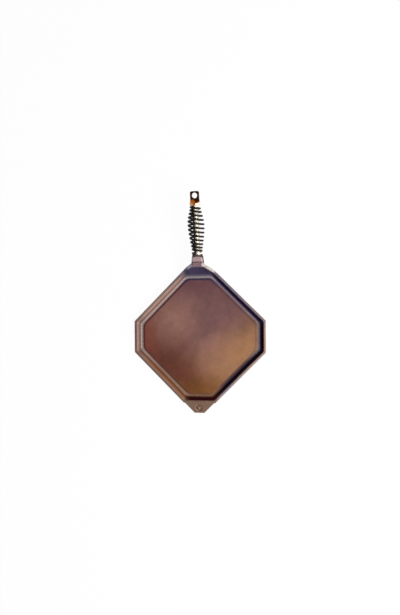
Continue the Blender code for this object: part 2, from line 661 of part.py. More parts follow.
def main():
    """Builds the griddle from nothing."""
    for item in list(bpy.data.objects):
        bpy.data.objects.remove(item, do_unlink=True)
    iron = metal("seasoned_cast_iron", rgb(116, 78, 64), 0.42, 0.35)
    rod_steel = metal("rod_steel", rgb(112, 104, 98), 0.35, 0.9)
    coil_steel = metal("coil_steel", rgb(92, 84, 80), 0.28, 0.9)
    ring_steel = metal("ring_steel", rgb(128, 110, 104), 0.4, 0.8)
    bronze = metal("lug_bronze", rgb(168, 96, 42), 0.3, 0.9)
    pin_steel = metal("pin_steel", rgb(140, 136, 130), 0.4, 0.9)
    handle = bpy.data.objects.new("handle_axis", None)
    bpy.context.scene.collection.objects.link(handle)
    handle.location = (0, NECK_REACH, NECK_AXIS_HEIGHT)
    handle.rotation_euler = (HANDLE_RISE - math.pi / 2, 0, 0)
    build_casting(handle, iron)
    build_rod(handle, rod_steel)
    build_pin("rod_lock_pin", NECK_PIN_DIAMETER, -NECK_PIN_SETBACK, NECK_WIDTH, handle, pin_steel)
    build_collar(handle, ring_steel)
    build_coil(handle, coil_steel)
    build_seat(handle, ring_steel)
    build_lug(handle, bronze)
    build_pin("lug_lock_pin", LUG_PIN_DIAMETER, LUG_PIN_PLACE, LUG_BASE_DIAMETER, handle, pin_steel)


main()
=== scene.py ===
"""Looks of a square cast-iron griddle with a wound wire grip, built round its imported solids.

Metres, +Z up, +Y towards the handle, the origin under the middle of the pan.
"""

import logging
import math
from dataclasses import dataclass
from enum import Enum
from typing import Any, Callable

import bpy
import numpy as np
from mathutils import Matrix, Vector
from numpy.typing import NDArray


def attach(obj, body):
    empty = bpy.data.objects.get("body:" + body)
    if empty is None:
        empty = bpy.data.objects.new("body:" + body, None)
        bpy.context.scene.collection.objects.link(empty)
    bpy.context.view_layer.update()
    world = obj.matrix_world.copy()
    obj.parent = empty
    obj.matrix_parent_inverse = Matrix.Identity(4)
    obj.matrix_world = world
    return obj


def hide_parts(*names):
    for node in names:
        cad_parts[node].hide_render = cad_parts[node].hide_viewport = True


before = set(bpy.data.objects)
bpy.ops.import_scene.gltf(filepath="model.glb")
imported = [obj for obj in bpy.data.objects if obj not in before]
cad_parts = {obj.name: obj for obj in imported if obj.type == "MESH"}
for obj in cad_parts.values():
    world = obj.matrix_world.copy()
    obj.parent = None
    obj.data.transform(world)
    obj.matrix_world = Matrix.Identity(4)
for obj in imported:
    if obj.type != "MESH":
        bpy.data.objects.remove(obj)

Array = NDArray[np.float64]
Colour = tuple[float, float, float]

LOG = logging.getLogger("griddle")
BODY = "root"
IMAGE_WIDTH = 400
IMAGE_HEIGHT = 615
SECTION_MAP = "section"
SECTION_SCALE = 10.0
SHARP_ANGLE = math.radians(34.0)
SUPPORT_MARGIN = 0.0003
SUPPORT_SHARE = 0.3
CORNER_SHRINK = 0.3
POLE_SHARE = 0.02
OVERSHOOT = 0.004
PIN_BEVEL = 0.0002


class Zone(float, Enum):
    """Places along the casting's section, which its UV map holds in tenths."""

    UNDERSIDE = 0.0
    BASE_EDGE = 1.0
    RIM_OUTSIDE = 2.0
    RIM_TOP = 2.5
    RIM_INSIDE = 2.9
    WALL_TOP = 3.0
    WALL_FOOT = 3.7
    GUTTER = 4.3
    STEP_FOOT = 5.0
    FACE_EDGE = 6.0
    FACE_MIDDLE = 7.0


class Operation(Enum):
    """How a tool body changes a piece."""

    ADD = "UNION"
    CUT = "DIFFERENCE"


def linear(red: float, green: float, blue: float) -> Colour:
    """Turns display values from 0 to 255 into a linear colour."""
    return tuple(((value / 255 + 0.055) / 1.055) ** 2.4 for value in (red, green, blue))


def unit(vectors: Array) -> Array:
    """Scales every vector to length one."""
    return vectors / np.linalg.norm(vectors, axis=-1, keepdims=True)


def ease(share: Array) -> Array:
    """Runs smoothly from 0 to 1: three times the share's square less twice its cube."""
    share = np.clip(share, 0.0, 1.0)
    return share * share * (3 - 2 * share)


# Surfaces


def rounded_polygon(corners: Array, radii: Array, steps: int) -> Array:
    """Rounds the corners of many polygons at once.

    An arc's centre lies on the corner's bisector, a radius over the sine of half the corner's angle away, and
    the arc turns about it from one side's tangent point to the next side's. One more point a little way along
    each side keeps the side flat when it is shaded smooth.

    Args:
        corners: Corner points, rows by corners by 2, counter-clockwise.
        radii: A radius for each row, or for each corner of each row.
        steps: Pieces in each arc.

    Returns:
        Outline points, rows by points by 2.
    """
    radii = np.broadcast_to(radii.reshape(len(corners), -1), corners.shape[:2])
    side = np.roll(corners, -1, axis=1) - corners
    to_next = unit(side)
    to_last = -np.roll(to_next, 1, axis=1)
    half = np.arccos(np.clip((to_last * to_next).sum(-1), -1.0, 1.0)) / 2
    reach = radii / np.tan(half)
    spare = np.linalg.norm(side, axis=-1) - reach - np.roll(reach, -1, axis=1)
    ahead = np.clip(SUPPORT_SHARE * spare, 0.0, SUPPORT_MARGIN)[..., None]
    centre = corners + unit(to_last + to_next) * (radii / np.sin(half))[..., None]
    first = corners + to_last * reach[..., None]
    last = corners + to_next * reach[..., None]
    spoke = (first - centre)[:, :, None, :]
    turn = (np.pi - 2 * half)[..., None] * np.linspace(0, 1, steps + 1)
    bow = centre[:, :, None, :] + np.stack(
        (np.cos(turn) * spoke[..., 0] - np.sin(turn) * spoke[..., 1],
         np.sin(turn) * spoke[..., 0] + np.cos(turn) * spoke[..., 1]), axis=-1)
    before = (first + to_last * np.roll(ahead, 1, axis=1))[:, :, None, :]
    after = (last + to_next * ahead)[:, :, None, :]
    return np.concatenate((before, bow, after), axis=2).reshape(len(corners), -1, 2)


def offset_corners(corners: Array, distances: Array) -> Array:
    """Moves a polygon's sides inwards, once for each distance.

    A corner moves along its bisector by the distance over the sine of half its angle.

    Args:
        corners: Corner points, corners by 2, counter-clockwise.
        distances: How far each copy's sides move.

    Returns:
        Corner points, distances by corners by 2.
    """
    to_next = unit(np.roll(corners, -1, axis=0) - corners)
    to_last = -np.roll(to_next, 1, axis=0)
    half = np.arccos((to_last * to_next).sum(-1)) / 2
    shift = unit(to_last + to_next) / np.sin(half)[:, None]
    return corners[None] + shift[None] * distances[:, None, None]


def rectangles(half_width: Array, half_height: Array) -> Array:
    """Corner points of many rectangles round the origin, rows by 4 by 2."""
    across = np.array((1.0, -1.0, -1.0, 1.0))
    up = np.array((1.0, 1.0, -1.0, -1.0))
    return np.stack((half_width[:, None] * across, half_height[:, None] * up), axis=-1)


def lifted(plan: Array, heights: Array) -> Array:
    """Gives each line of a plan its height, which makes it rows by columns by 3."""
    return np.concatenate((plan, np.broadcast_to(heights[:, None, None], (*plan.shape[:2], 1))), axis=-1)


def quarter(rows: int, last: float = 90.0) -> Array:
    """Evenly spaced angles from 0 to a last one in degrees, a quarter turn unless said otherwise."""
    return np.radians(np.linspace(0, last, rows))

def arc(centre: tuple[float, float], radius: float, start: float, end: float, steps: int = 8) -> Array:
    """Points of an arc in a section, where the radius turns up from the first axis's negative side.

    Args:
        centre: The arc's centre.
        radius: Its radius.
        start: First angle in degrees.
        end: Last angle in degrees.
        steps: Pieces in the arc.

    Returns:
        Points, steps + 1 by 2.
    """
    turn = np.radians(np.linspace(start, end, steps + 1))
    return np.stack((centre[0] - radius * np.cos(turn), centre[1] + radius * np.sin(turn)), axis=-1)


def revolve(profile: Array, sides: int = 72) -> Array:
    """Turns a profile of radii and heights about the Z axis: x and y are the radius times cosine and sine.

    Args:
        profile: Radii and heights, rows by 2.
        sides: Columns round the axis.

    Returns:
        Points, rows by sides by 3.
    """
    turn = np.linspace(0, 2 * np.pi, sides, endpoint=False)
    radius = profile[:, 0, None]
    height = np.repeat(profile[:, 1, None], sides, axis=1)
    return np.stack((radius * np.cos(turn), radius * np.sin(turn), height), axis=-1)


def plug(radius: float, low: float, high: float) -> Array:
    """Outline of a solid round plug, from its lower pole to its upper one."""
    return np.array([[radius * POLE_SHARE, low], [radius, low], [radius, high], [radius * POLE_SHARE, high]])


def turned_profile(outline: Array | list[tuple[float, float]], bevel: float) -> Array:
    """Cuts each corner of a turned outline with a small three-point round.

    Args:
        outline: Radii and heights of the corners, in order.
        bevel: How far from the corner the round starts.

    Returns:
        Profile points, rows by 2.
    """
    most, sag, lead = 0.45, 0.42, 0.4
    corners = np.array(outline)
    middle = corners[1:-1]
    back, front = corners[:-2] - middle, corners[2:] - middle
    shorter = np.minimum(np.linalg.norm(back, axis=1), np.linalg.norm(front, axis=1))[:, None]
    cut = np.minimum(bevel, shorter * most)
    back, front = unit(back) * cut, unit(front) * cut
    before, after = middle + back, middle + front
    centre = (before + after) / 2 * sag + middle * (1 - sag)
    rounds = np.stack((before + back * lead, before, centre, after, after + front * lead), axis=1)
    return np.concatenate((corners[:1], rounds.reshape(-1, 2), corners[-1:]))


def tube(path: Array, outward: Array, radii: Array, sides: int) -> Array:
    """Carries a circle along a path: each ring lies square to the path's direction.

    Args:
        path: Points of the centre line, rows by 3.
        outward: A direction near the first spoke of each ring, rows by 3.
        radii: Radius of each ring.
        sides: Points in each ring.

    Returns:
        Points, rows by sides by 3.
    """
    along = unit(np.gradient(path, axis=0))
    spoke = unit(outward - (outward * along).sum(-1, keepdims=True) * along)
    other = np.cross(along, spoke)
    turn = np.linspace(0, 2 * np.pi, sides, endpoint=False)[None, :, None]
    ring = np.cos(turn) * spoke[:, None, :] + np.sin(turn) * other[:, None, :]
    return path[:, None, :] + radii[:, None, None] * ring


def solid_mesh(name: str, points: Array, faces: list[list[int]]) -> bpy.types.Mesh:
    """Makes a smooth mesh of a closed surface, its faces turned so that they enclose a volume above zero."""
    fans = np.array([(face[0], face[i], face[i + 1]) for face in faces for i in range(1, len(face) - 1)])
    a, b, c = (points[fans[:, i]] for i in range(3))
    if (a * np.cross(b, c)).sum() < 0:
        faces = [face[::-1] for face in faces]
    mesh = bpy.data.meshes.new(name)
    mesh.from_pydata(points.tolist(), [], faces)
    mesh.shade_smooth()
    return mesh


def grid_mesh(name: str, points: Array, zones: Array | float | None = None) -> bpy.types.Mesh:
    """Skins a grid whose columns close on themselves, and closes both ends at a pole.

    Args:
        name: The mesh's name.
        points: Rows by columns by 3.
        zones: A number for all, for each row or for each point, that the UV map keeps as its first value.

    Returns:
        A closed mesh with outward faces.
    """
    rows, columns = points.shape[:2]
    index = np.arange(rows * columns).reshape(rows, columns)
    after = np.roll(index, -1, axis=1)
    quads = np.stack((index[:-1], after[:-1], after[1:], index[1:]), axis=-1).reshape(-1, 4)
    poles = rows * columns + np.arange(2)
    low = np.stack((after[0], index[0], np.full(columns, poles[0])), axis=-1)
    high = np.stack((index[-1], after[-1], np.full(columns, poles[1])), axis=-1)
    vertices = np.concatenate((points.reshape(-1, 3), points[0].mean(0, keepdims=True),
                               points[-1].mean(0, keepdims=True)))
    mesh = solid_mesh(name, vertices, quads.tolist() + low.tolist() + high.tolist())
    if zones is not None:
        zones = np.asarray(zones, dtype=float)
        zones = np.broadcast_to(zones[:, None] if zones.ndim == 1 else zones, (rows, columns))
        values = np.concatenate((zones.ravel(), zones[0, :1], zones[-1, :1])) / SECTION_SCALE
        corner = np.empty(len(mesh.loops), dtype=np.int32)
        mesh.loops.foreach_get("vertex_index", corner)
        layer = mesh.uv_layers.new(name=SECTION_MAP)
        layer.data.foreach_set("uv", np.stack((values[corner], np.zeros(len(corner))), axis=-1).ravel())
    return mesh


def torus_mesh(name: str, points: Array) -> bpy.types.Mesh:
    """Skins a grid, rows by columns by 3, that closes on itself both ways."""
    rows, columns = points.shape[:2]
    index = np.arange(rows * columns).reshape(rows, columns)
    down, across = np.roll(index, -1, axis=0), np.roll(index, -1, axis=1)
    both = np.roll(down, -1, axis=1)
    faces = np.stack((index, across, both, down), axis=-1).reshape(-1, 4)
    return solid_mesh(name, points.reshape(-1, 3), faces.tolist())


def place_item(name: str, data: bpy.types.ID, material: bpy.types.Material | None = None) -> bpy.types.Object:
    """Links a mesh, camera or light as an object at the origin."""
    item = bpy.data.objects.new(name, data)
    bpy.context.scene.collection.objects.link(item)
    if material:
        data.materials.append(material)
    return item


def combine(piece: bpy.types.Object, tools: list[tuple[Operation, bpy.types.Mesh]]) -> None:
    """Adds tool bodies to a piece, or cuts them out of it, and keeps the result in its mesh.

    Args:
        piece: The object to change.
        tools: What each body does, and its mesh.
    """
    bodies = []
    for operation, mesh in tools:
        if not mesh.materials:
            mesh.materials.append(piece.data.materials[0])
        bodies.append(place_item(mesh.name + "_tool", mesh))
        modifier = piece.modifiers.new(mesh.name, "BOOLEAN")
        modifier.operation = operation.value
        modifier.solver = "MANIFOLD"
        modifier.object = bodies[-1]
    shape = bpy.data.meshes.new_from_object(piece.evaluated_get(bpy.context.evaluated_depsgraph_get()))
    piece.modifiers.clear()
    piece.data = shape
    for body in bodies:
        bpy.data.objects.remove(body)


def settle(piece: bpy.types.Object, slot: str, *nodes: str) -> None:
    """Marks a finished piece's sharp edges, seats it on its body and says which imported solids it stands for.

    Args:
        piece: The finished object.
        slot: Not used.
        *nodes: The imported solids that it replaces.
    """
    piece.data.shade_smooth()
    piece.data.set_sharp_from_angle(angle=SHARP_ANGLE)
    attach(piece, BODY)
    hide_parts(*nodes)
    LOG.info("%s: %d faces, stands for %s", piece.name, len(piece.data.polygons), ", ".join(nodes))


# Finishes


def arithmetic(operation: str, swapped: bool = False) -> Callable[["Value", "Value | float"], "Value"]:
    """Makes a method that adds a Math node for a value and another one, which comes first if they are swapped."""

    def method(value: "Value", other: "Value | float") -> "Value":
        """Feeds both values to the node."""
        return value.graph.math(operation, *((other, value) if swapped else (value, other)))

    return method


class Value:
    """One output of a material's nodes, on which arithmetic adds Math nodes."""

    __add__ = __radd__ = arithmetic("ADD")
    __sub__ = arithmetic("SUBTRACT")
    __rsub__ = arithmetic("SUBTRACT", swapped=True)
    __mul__ = arithmetic("MULTIPLY")
    __truediv__ = arithmetic("DIVIDE")
    __pow__ = arithmetic("POWER")
    over = arithmetic("MAXIMUM")
    under = arithmetic("MINIMUM")

    def __init__(self, graph: "Graph", socket: bpy.types.NodeSocket) -> None:
        """Keeps the socket and the graph that it belongs to."""
        self.graph = graph
        self.socket = socket

    def __neg__(self) -> "Value":
        """Opposite."""
        return self.graph.math("MULTIPLY", self, -1.0)

    def step(self, low: float, high: float) -> "Value":
        """Runs smoothly from 0 at low to 1 at high."""
        return self.graph.node("ShaderNodeMapRange", {"interpolation_type": "SMOOTHSTEP"},
                               {"Value": self, "From Min": low, "From Max": high})

    def band(self, low: float, high: float, soft: float) -> "Value":
        """Is 1 between low and high, with edges that fade over soft."""
        return self.step(low - soft, low + soft) * (1 - self.step(high - soft, high + soft))


class Graph:
    """A material's node tree, with one shader at its end."""

    def __init__(self, name: str) -> None:
        """Makes the material."""
        self.material = bpy.data.materials.new(name)
        self.material.use_nodes = True
        self.tree = self.material.node_tree
        self.shader = self.tree.nodes["Principled BSDF"]

    def put(self, socket: bpy.types.NodeSocket, value: Any) -> None:
        """Links a value to a socket, or sets it."""
        if isinstance(value, Value):
            self.tree.links.new(value.socket, socket)
        elif isinstance(value, tuple) and len(value) == 3 and len(socket.default_value) == 4:
            socket.default_value = (*value, 1.0)
        else:
            socket.default_value = value

    def node(self, kind: str, settings: dict[str, Any] | None = None, inputs: dict[str | int, Any] | None = None,
             output: str | int = 0) -> Value:
        """Adds a node.

        Args:
            kind: The node's type.
            settings: Its properties.
            inputs: Values or links of its sockets.
            output: Which output to give.

        Returns:
            The output.
        """
        made = self.tree.nodes.new(kind)
        for key, value in (settings or {}).items():
            setattr(made, key, value)
        for key, value in (inputs or {}).items():
            self.put(made.inputs[key], value)
        return Value(self, made.outputs[output])

    def math(self, operation: str, *values: "Value | float") -> Value:
        """Adds a Math node."""
        return self.node("ShaderNodeMath", {"operation": operation}, dict(enumerate(values)))

    def mix(self, factor: "Value | float", first: Any, second: Any) -> Value:
        """Mixes two colours."""
        return self.node("ShaderNodeMix", {"data_type": "RGBA"}, {0: factor, 6: first, 7: second}, 2)

    def layers(self, colour: Any, *layers: tuple["Value | float", Any]) -> Value:
        """Lays colours over a first one, one after the other, each with its own share."""
        for share, tint in layers:
            colour = self.mix(share, colour, tint)
        return colour

    def place(self) -> Value:
        """Position on the object, in metres."""
        return self.node("ShaderNodeTexCoord", output="Object")

    def split(self, vector: Value) -> tuple[Value, Value, Value]:
        """The three parts of a vector."""
        made = self.node("ShaderNodeSeparateXYZ", inputs={0: vector}).socket.node
        return tuple(Value(self, output) for output in made.outputs)

    def noise(self, vector: Value, scale: float, detail: float = 3.0, roughness: float = 0.5) -> Value:
        """Cloudy noise round one half."""
        return self.node("ShaderNodeTexNoise", {}, {"Vector": vector, "Scale": scale, "Detail": detail,
                                                    "Roughness": roughness})

    def stretch(self, vector: Value, scale: Colour) -> Value:
        """Scales a position."""
        return self.node("ShaderNodeMapping", {}, {"Vector": vector, "Scale": scale})

    def shade(self, colour: Any, amount: Value) -> Value:
        """Multiplies a colour by a number."""
        return self.node("ShaderNodeVectorMath", {"operation": "SCALE"}, {0: colour, "Scale": amount})

    def finish(self, inputs: dict[str, Any], *bumps: tuple[Value, float, float]) -> bpy.types.Material:
        """Feeds the shader.

        Args:
            inputs: Numbers that are the same all over, and links for what changes over the surface.
            *bumps: Heights with their strength and their depth in metres, one laid on the other.

        Returns:
            The material.
        """
        normal = {}
        for height, strength, depth in bumps:
            bump = {"Height": height, "Strength": strength, "Distance": depth, **normal}
            normal = {"Normal": self.node("ShaderNodeBump", {}, bump)}
        for key, value in {**inputs, **normal}.items():
            self.put(self.shader.inputs[key], value)
        return self.material


def distance(x: Value, y: Value, across: float, along: float) -> Value:
    """How far a place lies from a point of the plan."""
    return ((x - across) ** 2.0 + (y - along) ** 2.0) ** 0.5


@dataclass(frozen=True)
class Patch:
    """A round patch of the cooking face, strongest in its middle and gone at its reach."""

    across: float
    along: float
    reach: float
    strength: float
    tint: Colour | None = None

    def share(self, x: Value, y: Value) -> Value:
        """How strong the patch is at a place."""
        return (1 - distance(x, y, self.across, self.along).step(0.0, self.reach)) * self.strength


@dataclass(frozen=True)
class SeasonedIron:
    """Cast iron with a baked-on skin, brown and gold on the face, whose colours also paint light and shade on rim,
    crest, walls and step.
    """

    handle_reach: float
    neck_bend: float
    mark_reach: float
    mauve: Colour = linear(116, 81, 81)
    plum: Colour = linear(95, 53, 62)
    gold: Colour = linear(152, 110, 78)
    rust: Colour = linear(104, 57, 45)
    amber: Colour = linear(125, 80, 33)
    clay: Colour = linear(139, 100, 89)
    brick: Colour = linear(140, 72, 58)
    smoke: Colour = linear(132, 93, 94)
    skin: Colour = linear(66, 50, 46)
    # Rim tints: the paler ash and straw on the right are painted light, on the side towards the lamp; the upper
    # left takes some ash too.
    umber: Colour = linear(122, 93, 82)
    ash: Colour = linear(150, 130, 120)
    straw: Colour = linear(147, 121, 105)
    tan: Colour = linear(121, 95, 80)
    lavender: Colour = linear(120, 106, 111)
    saddle: Colour = linear(132, 107, 113)
    hip: Colour = linear(132, 122, 134)
    blush: Colour = linear(164, 139, 139)
    # crest_highlight is a painted highlight on the side of the crest that faces the lamp.
    crest_highlight: Colour = linear(190, 178, 170)
    # Wall tints are lit and shaded copies: lit_wall and copper_wall paint light on the left walls that face the
    # lamp, and the black, violet and red walls paint shade on the walls turned from it.
    lit_wall: Colour = linear(112, 88, 80)
    copper_wall: Colour = linear(106, 64, 36)
    shaded_black_wall: Colour = linear(16, 6, 36)
    shaded_violet_wall: Colour = linear(20, 11, 60)
    shaded_red_wall: Colour = linear(63, 20, 24)
    saddle_wall: Colour = linear(64, 57, 82)
    # Gutter tints make a light line round the cooking face; the grey and straw on the right are painted light,
    # raised where the wall's shadow falls.
    pale_gutter: Colour = linear(162, 140, 136)
    grey_gutter: Colour = linear(132, 118, 124)
    brown_gutter: Colour = linear(122, 88, 68)
    dusk_gutter: Colour = linear(84, 63, 64)
    straw_gutter: Colour = linear(122, 103, 93)
    silver_gutter: Colour = linear(149, 141, 139)
    # Painted shade along the step at the foot of the cooking face, in three tints.
    step_shade: Colour = linear(96, 60, 62)
    warm_step_shade: Colour = linear(98, 68, 54)
    navy_step_shade: Colour = linear(66, 54, 82)
    clouds: tuple[Patch, ...] = (
        Patch(-0.062, 0.036, 0.103, 0.95, clay), Patch(0.020, -0.030, 0.080, 0.36, smoke),
        Patch(-0.010, -0.110, 0.036, 0.30, amber))
    patches: tuple[Patch, ...] = (
        Patch(-0.090, -0.040, 0.080, -0.12), Patch(0.110, 0.020, 0.040, -0.16), Patch(0.050, 0.040, 0.045, 0.14),
        Patch(-0.036, 0.036, 0.030, 0.08), Patch(-0.010, -0.110, 0.040, -0.16), Patch(0.010, 0.020, 0.040, -0.12))
    drift: float = 0.05
    wander: float = 0.02
    layer_share: float = 0.95
    brick_share: float = 0.45
    ash_share: float = 0.72
    hip_share: float = 0.7
    step_shade_clearing: float = 0.1
    corner_shade: float = 0.28
    crease_shade: float = 0.42
    corner_crease_shade: float = 0.22
    lip_light: float = 0.24
    cloud_depth: float = 0.24
    specular: float = 0.15
    gloss: float = 0.46
    least_metal: float = 0.2

    def cooking_face(self, graph: Graph, x: Value, y: Value) -> Value:
        """Clouded colours of the cooking face: broad soft layers, a painted crossed sheen like the reflection of
        circular grinding, and fine mottling.
        """
        place, most = graph.place(), self.layer_share
        drift = graph.node("ShaderNodeTexNoise", {}, {"Vector": place, "Scale": 14.0, "Detail": 4.0}, "Color")
        push, pull, _ = graph.split(drift)
        x = x + (push - 0.5) * self.drift
        y = y + (pull - 0.5) * self.drift
        handle_side = (y - x * 0.05).step(0.067, 0.206)
        right_side = (x - y * 2.0).step(-0.056, 0.170)
        lower_left = (-(x * 1.66) - y).step(-0.022, 0.171)
        foot_side = (-y).step(0.075, 0.154)
        left_corner = (-x).step(0.085, 0.135)
        colour = graph.layers(
            self.mauve, (handle_side * most, self.plum), (right_side * most, self.gold),
            (lower_left * most, self.rust), (foot_side * most, self.amber),
            *((cloud.share(x, y), cloud.tint) for cloud in self.clouds),
            (left_corner * self.brick_share, self.brick))
        # Painted reflection: two bright and two dark wedges crossing the middle of the face.
        cross = ((x * x - y * y) * 0.44 - x * y * 1.8) / (x * x + y * y + 0.0006)
        mottle = graph.noise(place, 75.0, 5.0, 0.62)
        speck = graph.noise(place, 420.0, 2.0, 0.5).step(0.66, 0.74)
        tone = cross * 0.06 + mottle * 0.34 + 0.83 - speck * 0.12
        for patch in self.patches:
            tone = tone * (patch.share(x, y) + 1)
        return graph.shade(colour, tone)

    def wall(self, graph: Graph, x: Value, y: Value, zone: Value) -> Value:
        """The sloping wall, painted light on the sides that face the lamp and painted shade on those that turn from
        it, down to the gutter at its foot.
        """
        left = (-x).step(0.020, 0.036)
        low = (-y).step(0.010, 0.075)
        # Painted shade just under the rim's inner edge, and a painted sheen along the upper lit wall.
        under_lip = 1 - zone.step(3.02, 3.14)
        sheen = (1 - zone.step(3.2, 3.6)) * (1 - low * 0.4) * 1.1
        lit = graph.mix(low * zone.step(3.0, 3.45), self.lit_wall, self.copper_wall)
        lit = graph.shade(lit, sheen + 0.95 - under_lip * 0.8)
        upper, foot_end, handle_end = y.step(0.0, 0.075), (-y).step(0.118, 0.140), y.step(0.128, 0.150)
        # Painted shade on the right and foot walls and painted light on the left ones; the handle end is darker and
        # bluer.
        wall = graph.layers(
            self.shaded_black_wall, (upper, self.shaded_violet_wall), (foot_end, self.shaded_red_wall), (left, lit),
            (handle_end, self.saddle_wall))
        # Gutter tints by side; on the right they are painted light where the wall's shadow lies.
        lower, foot_end, handle_end = (-y).step(0.020, 0.060), (-y).step(0.105, 0.125), y.step(0.122, 0.130)
        right_corner = x.step(0.105, 0.125) * zone.step(4.1, 4.7)
        left_gutter = graph.mix(low * 0.7, self.pale_gutter, self.brown_gutter)
        gutter = graph.layers(
            self.grey_gutter, (lower, self.dusk_gutter), (foot_end, self.brown_gutter),
            (right_corner, self.straw_gutter), (left, left_gutter), (handle_end, self.silver_gutter))
        foot = zone.step(3.5, 4.25) * (1 - left) + zone.step(3.7, 4.02) * left
        left_corner = (-x).step(0.125, 0.140)
        return graph.shade(graph.mix(foot, wall, gutter), 1 - left_corner * self.corner_shade)

    def rim(self, graph: Graph, x: Value, y: Value) -> Value:
        """The rim, with painted light: umber on the left, ashen on the right towards the lamp, paler where it rises
        to the neck.
        """
        reach = self.handle_reach
        upper_left = (-x).step(0.02, 0.05) * y.step(0.02, 0.045)
        right, far_right = x.step(-0.02, 0.03), x.step(0.035, 0.055)
        foot_side, hip_side = (-y).step(0.110, 0.130), (-y).step(0.085, 0.125)
        handle_side = (x * 0.4 + y).step(0.060, 0.120)
        colour = graph.layers(
            self.umber, (upper_left * self.ash_share, self.ash),
            (right, graph.mix(y.step(-0.055, -0.025), self.ash, self.straw)),
            (foot_side * (1 - far_right), self.tan), (hip_side * far_right * self.hip_share, self.hip),
            (handle_side, self.lavender))
        lit_side, shaded_side = x.step(0.0095, 0.0125), (-x).step(0.0115, 0.0130)
        on_pad, past_edge = y.step(reach, reach + 0.002), y.step(reach, reach + 0.001)
        # Painted highlight on the crest's side that faces the lamp.
        crest_highlight = graph.shade(self.crest_highlight, 1.35 - x.step(0.0165, 0.0215) * 0.62)
        crest = graph.layers(
            self.saddle, (shaded_side, self.hip), (on_pad, self.blush), (lit_side * (1 - past_edge), crest_highlight))
        on_crest = (y + x.step(0.020, 0.032) * 0.006).step(0.148, 0.155)
        colour = graph.mix(on_crest, colour, crest)
        # Painted shade: a dark line where the pad meets the neck, left off on the lit side, and a dark band where
        # the neck turns round towards the collar.
        crease = y.band(reach - 0.0003, reach + 0.0010, 0.0007)
        bend = (y + (x * x).under(0.0002) * 14.0).step(self.neck_bend - 0.002, self.neck_bend)
        # A darker round spot on the rim left of the neck.
        dark_spot = 1 - ((x + 0.026) ** 2.0 + (y - 0.1505) ** 2.0).step(0.0, 0.00003)
        shade = 1 - crease * 0.75 * (1 - lit_side) - bend * 0.80 - dark_spot * 0.55
        return graph.shade(colour, shade * self.mark_relief_light(x, y))

    def mark_relief_light(self, x: Value, y: Value) -> Value:
        """Painted light and shade on the foot tab's recess and dome: its ring paler on the left and darker on the
        right, the dome paler on the right and darker on the left.
        """
        spread = distance(x, y, 0.0, -self.mark_reach)
        right = x.step(-0.002, 0.002)
        ring = spread.band(0.0058, 0.0080, 0.0006)
        dome = 1 - spread.step(0.0042, 0.0056)
        return 1 + ring * (0.55 - right) + dome * (right - 0.45)

    def colour(self, graph: Graph, x: Value, y: Value, zone: Value) -> Value:
        """Colours along the section: skin outside, then rim, wall with its gutter, the step with painted shade, and
        cooking face.
        """
        wander = (graph.noise(graph.place(), 22.0, 2.0, 0.5) - 0.5) * self.wander
        face = self.cooking_face(graph, x, y)
        # Painted shade along the step, with a little of the face's colour mixed in.
        step_shade = graph.layers(self.step_shade, ((x * 0.7 - y).step(-0.02, 0.06), self.warm_step_shade),
                            (y.step(0.105, 0.125), self.navy_step_shade), (self.step_shade_clearing, face))
        lower_right = (x - y).step(0.09, 0.13) * (-y).step(0.02, 0.05)
        colour = graph.mix(zone.step(1.6, 2.05), self.skin, self.rim(graph, x + wander, y))
        # Painted shade: a dark line where the left rim meets its wall; painted light along the right rim's inner
        # edge.
        crease = zone.band(2.8, 3.06, 0.06) * (-x).step(0.020, 0.050) * y.step(-0.045, -0.020)
        lip = zone.step(2.6, 2.85) * x.step(0.0, 0.03)
        crease = crease * ((-x).step(0.130, 0.138) * self.corner_crease_shade + self.crease_shade)
        colour = graph.shade(colour, 1 - crease + lip * self.lip_light)
        edge = zone - lower_right * 0.09 + x.step(0.115, 0.130) * (-y).step(-0.05, -0.03) * 0.05
        return graph.layers(
            colour, (edge.step(2.98, 3.10), self.wall(graph, x, y, zone)),
            ((zone + y * 2.5).step(4.25, 5.6), step_shade), ((zone + lower_right * 0.25).step(5.8, 6.35), face))

    def material(self) -> bpy.types.Material:
        """Builds the node material."""
        graph = Graph("seasoned_cast_iron")
        place = graph.place()
        x, y, _ = graph.split(place)
        zone = graph.split(graph.node("ShaderNodeUVMap", {"uv_map": SECTION_MAP}))[0] * SECTION_SCALE
        cloud = graph.noise(place, 38.0, 4.0, 0.55)
        colour = graph.shade(self.colour(graph, x, y, zone), (cloud - 0.5) * self.cloud_depth + 1)
        slope = zone.band(3.1, 3.9, 0.1)
        right = (x + y * 0.3).step(-0.02, 0.01)
        low = (-y).step(0.126, 0.136) * x.step(-0.038, -0.030)
        rough = self.gloss + (cloud - 0.5) * 0.25 + (1 - zone.step(2.2, 2.6)) * 0.16 - slope * right * 0.24
        sloping = slope * (low + right * (1 - low)) * (-y).step(-0.05, 0.0)
        metal = sloping * (1 - self.least_metal) + self.least_metal
        grit = graph.noise(place, 900.0, 3.0, 0.6) * (1 - zone.step(1.9, 2.5) + 0.18)
        swell = graph.noise(place, 120.0, 2.0, 0.5)
        return graph.finish({"Specular IOR Level": self.specular, "Base Color": colour, "Roughness": rough,
                             "Metallic": metal}, (grit, 0.35, 0.0004), (swell, 0.12, 0.0006))


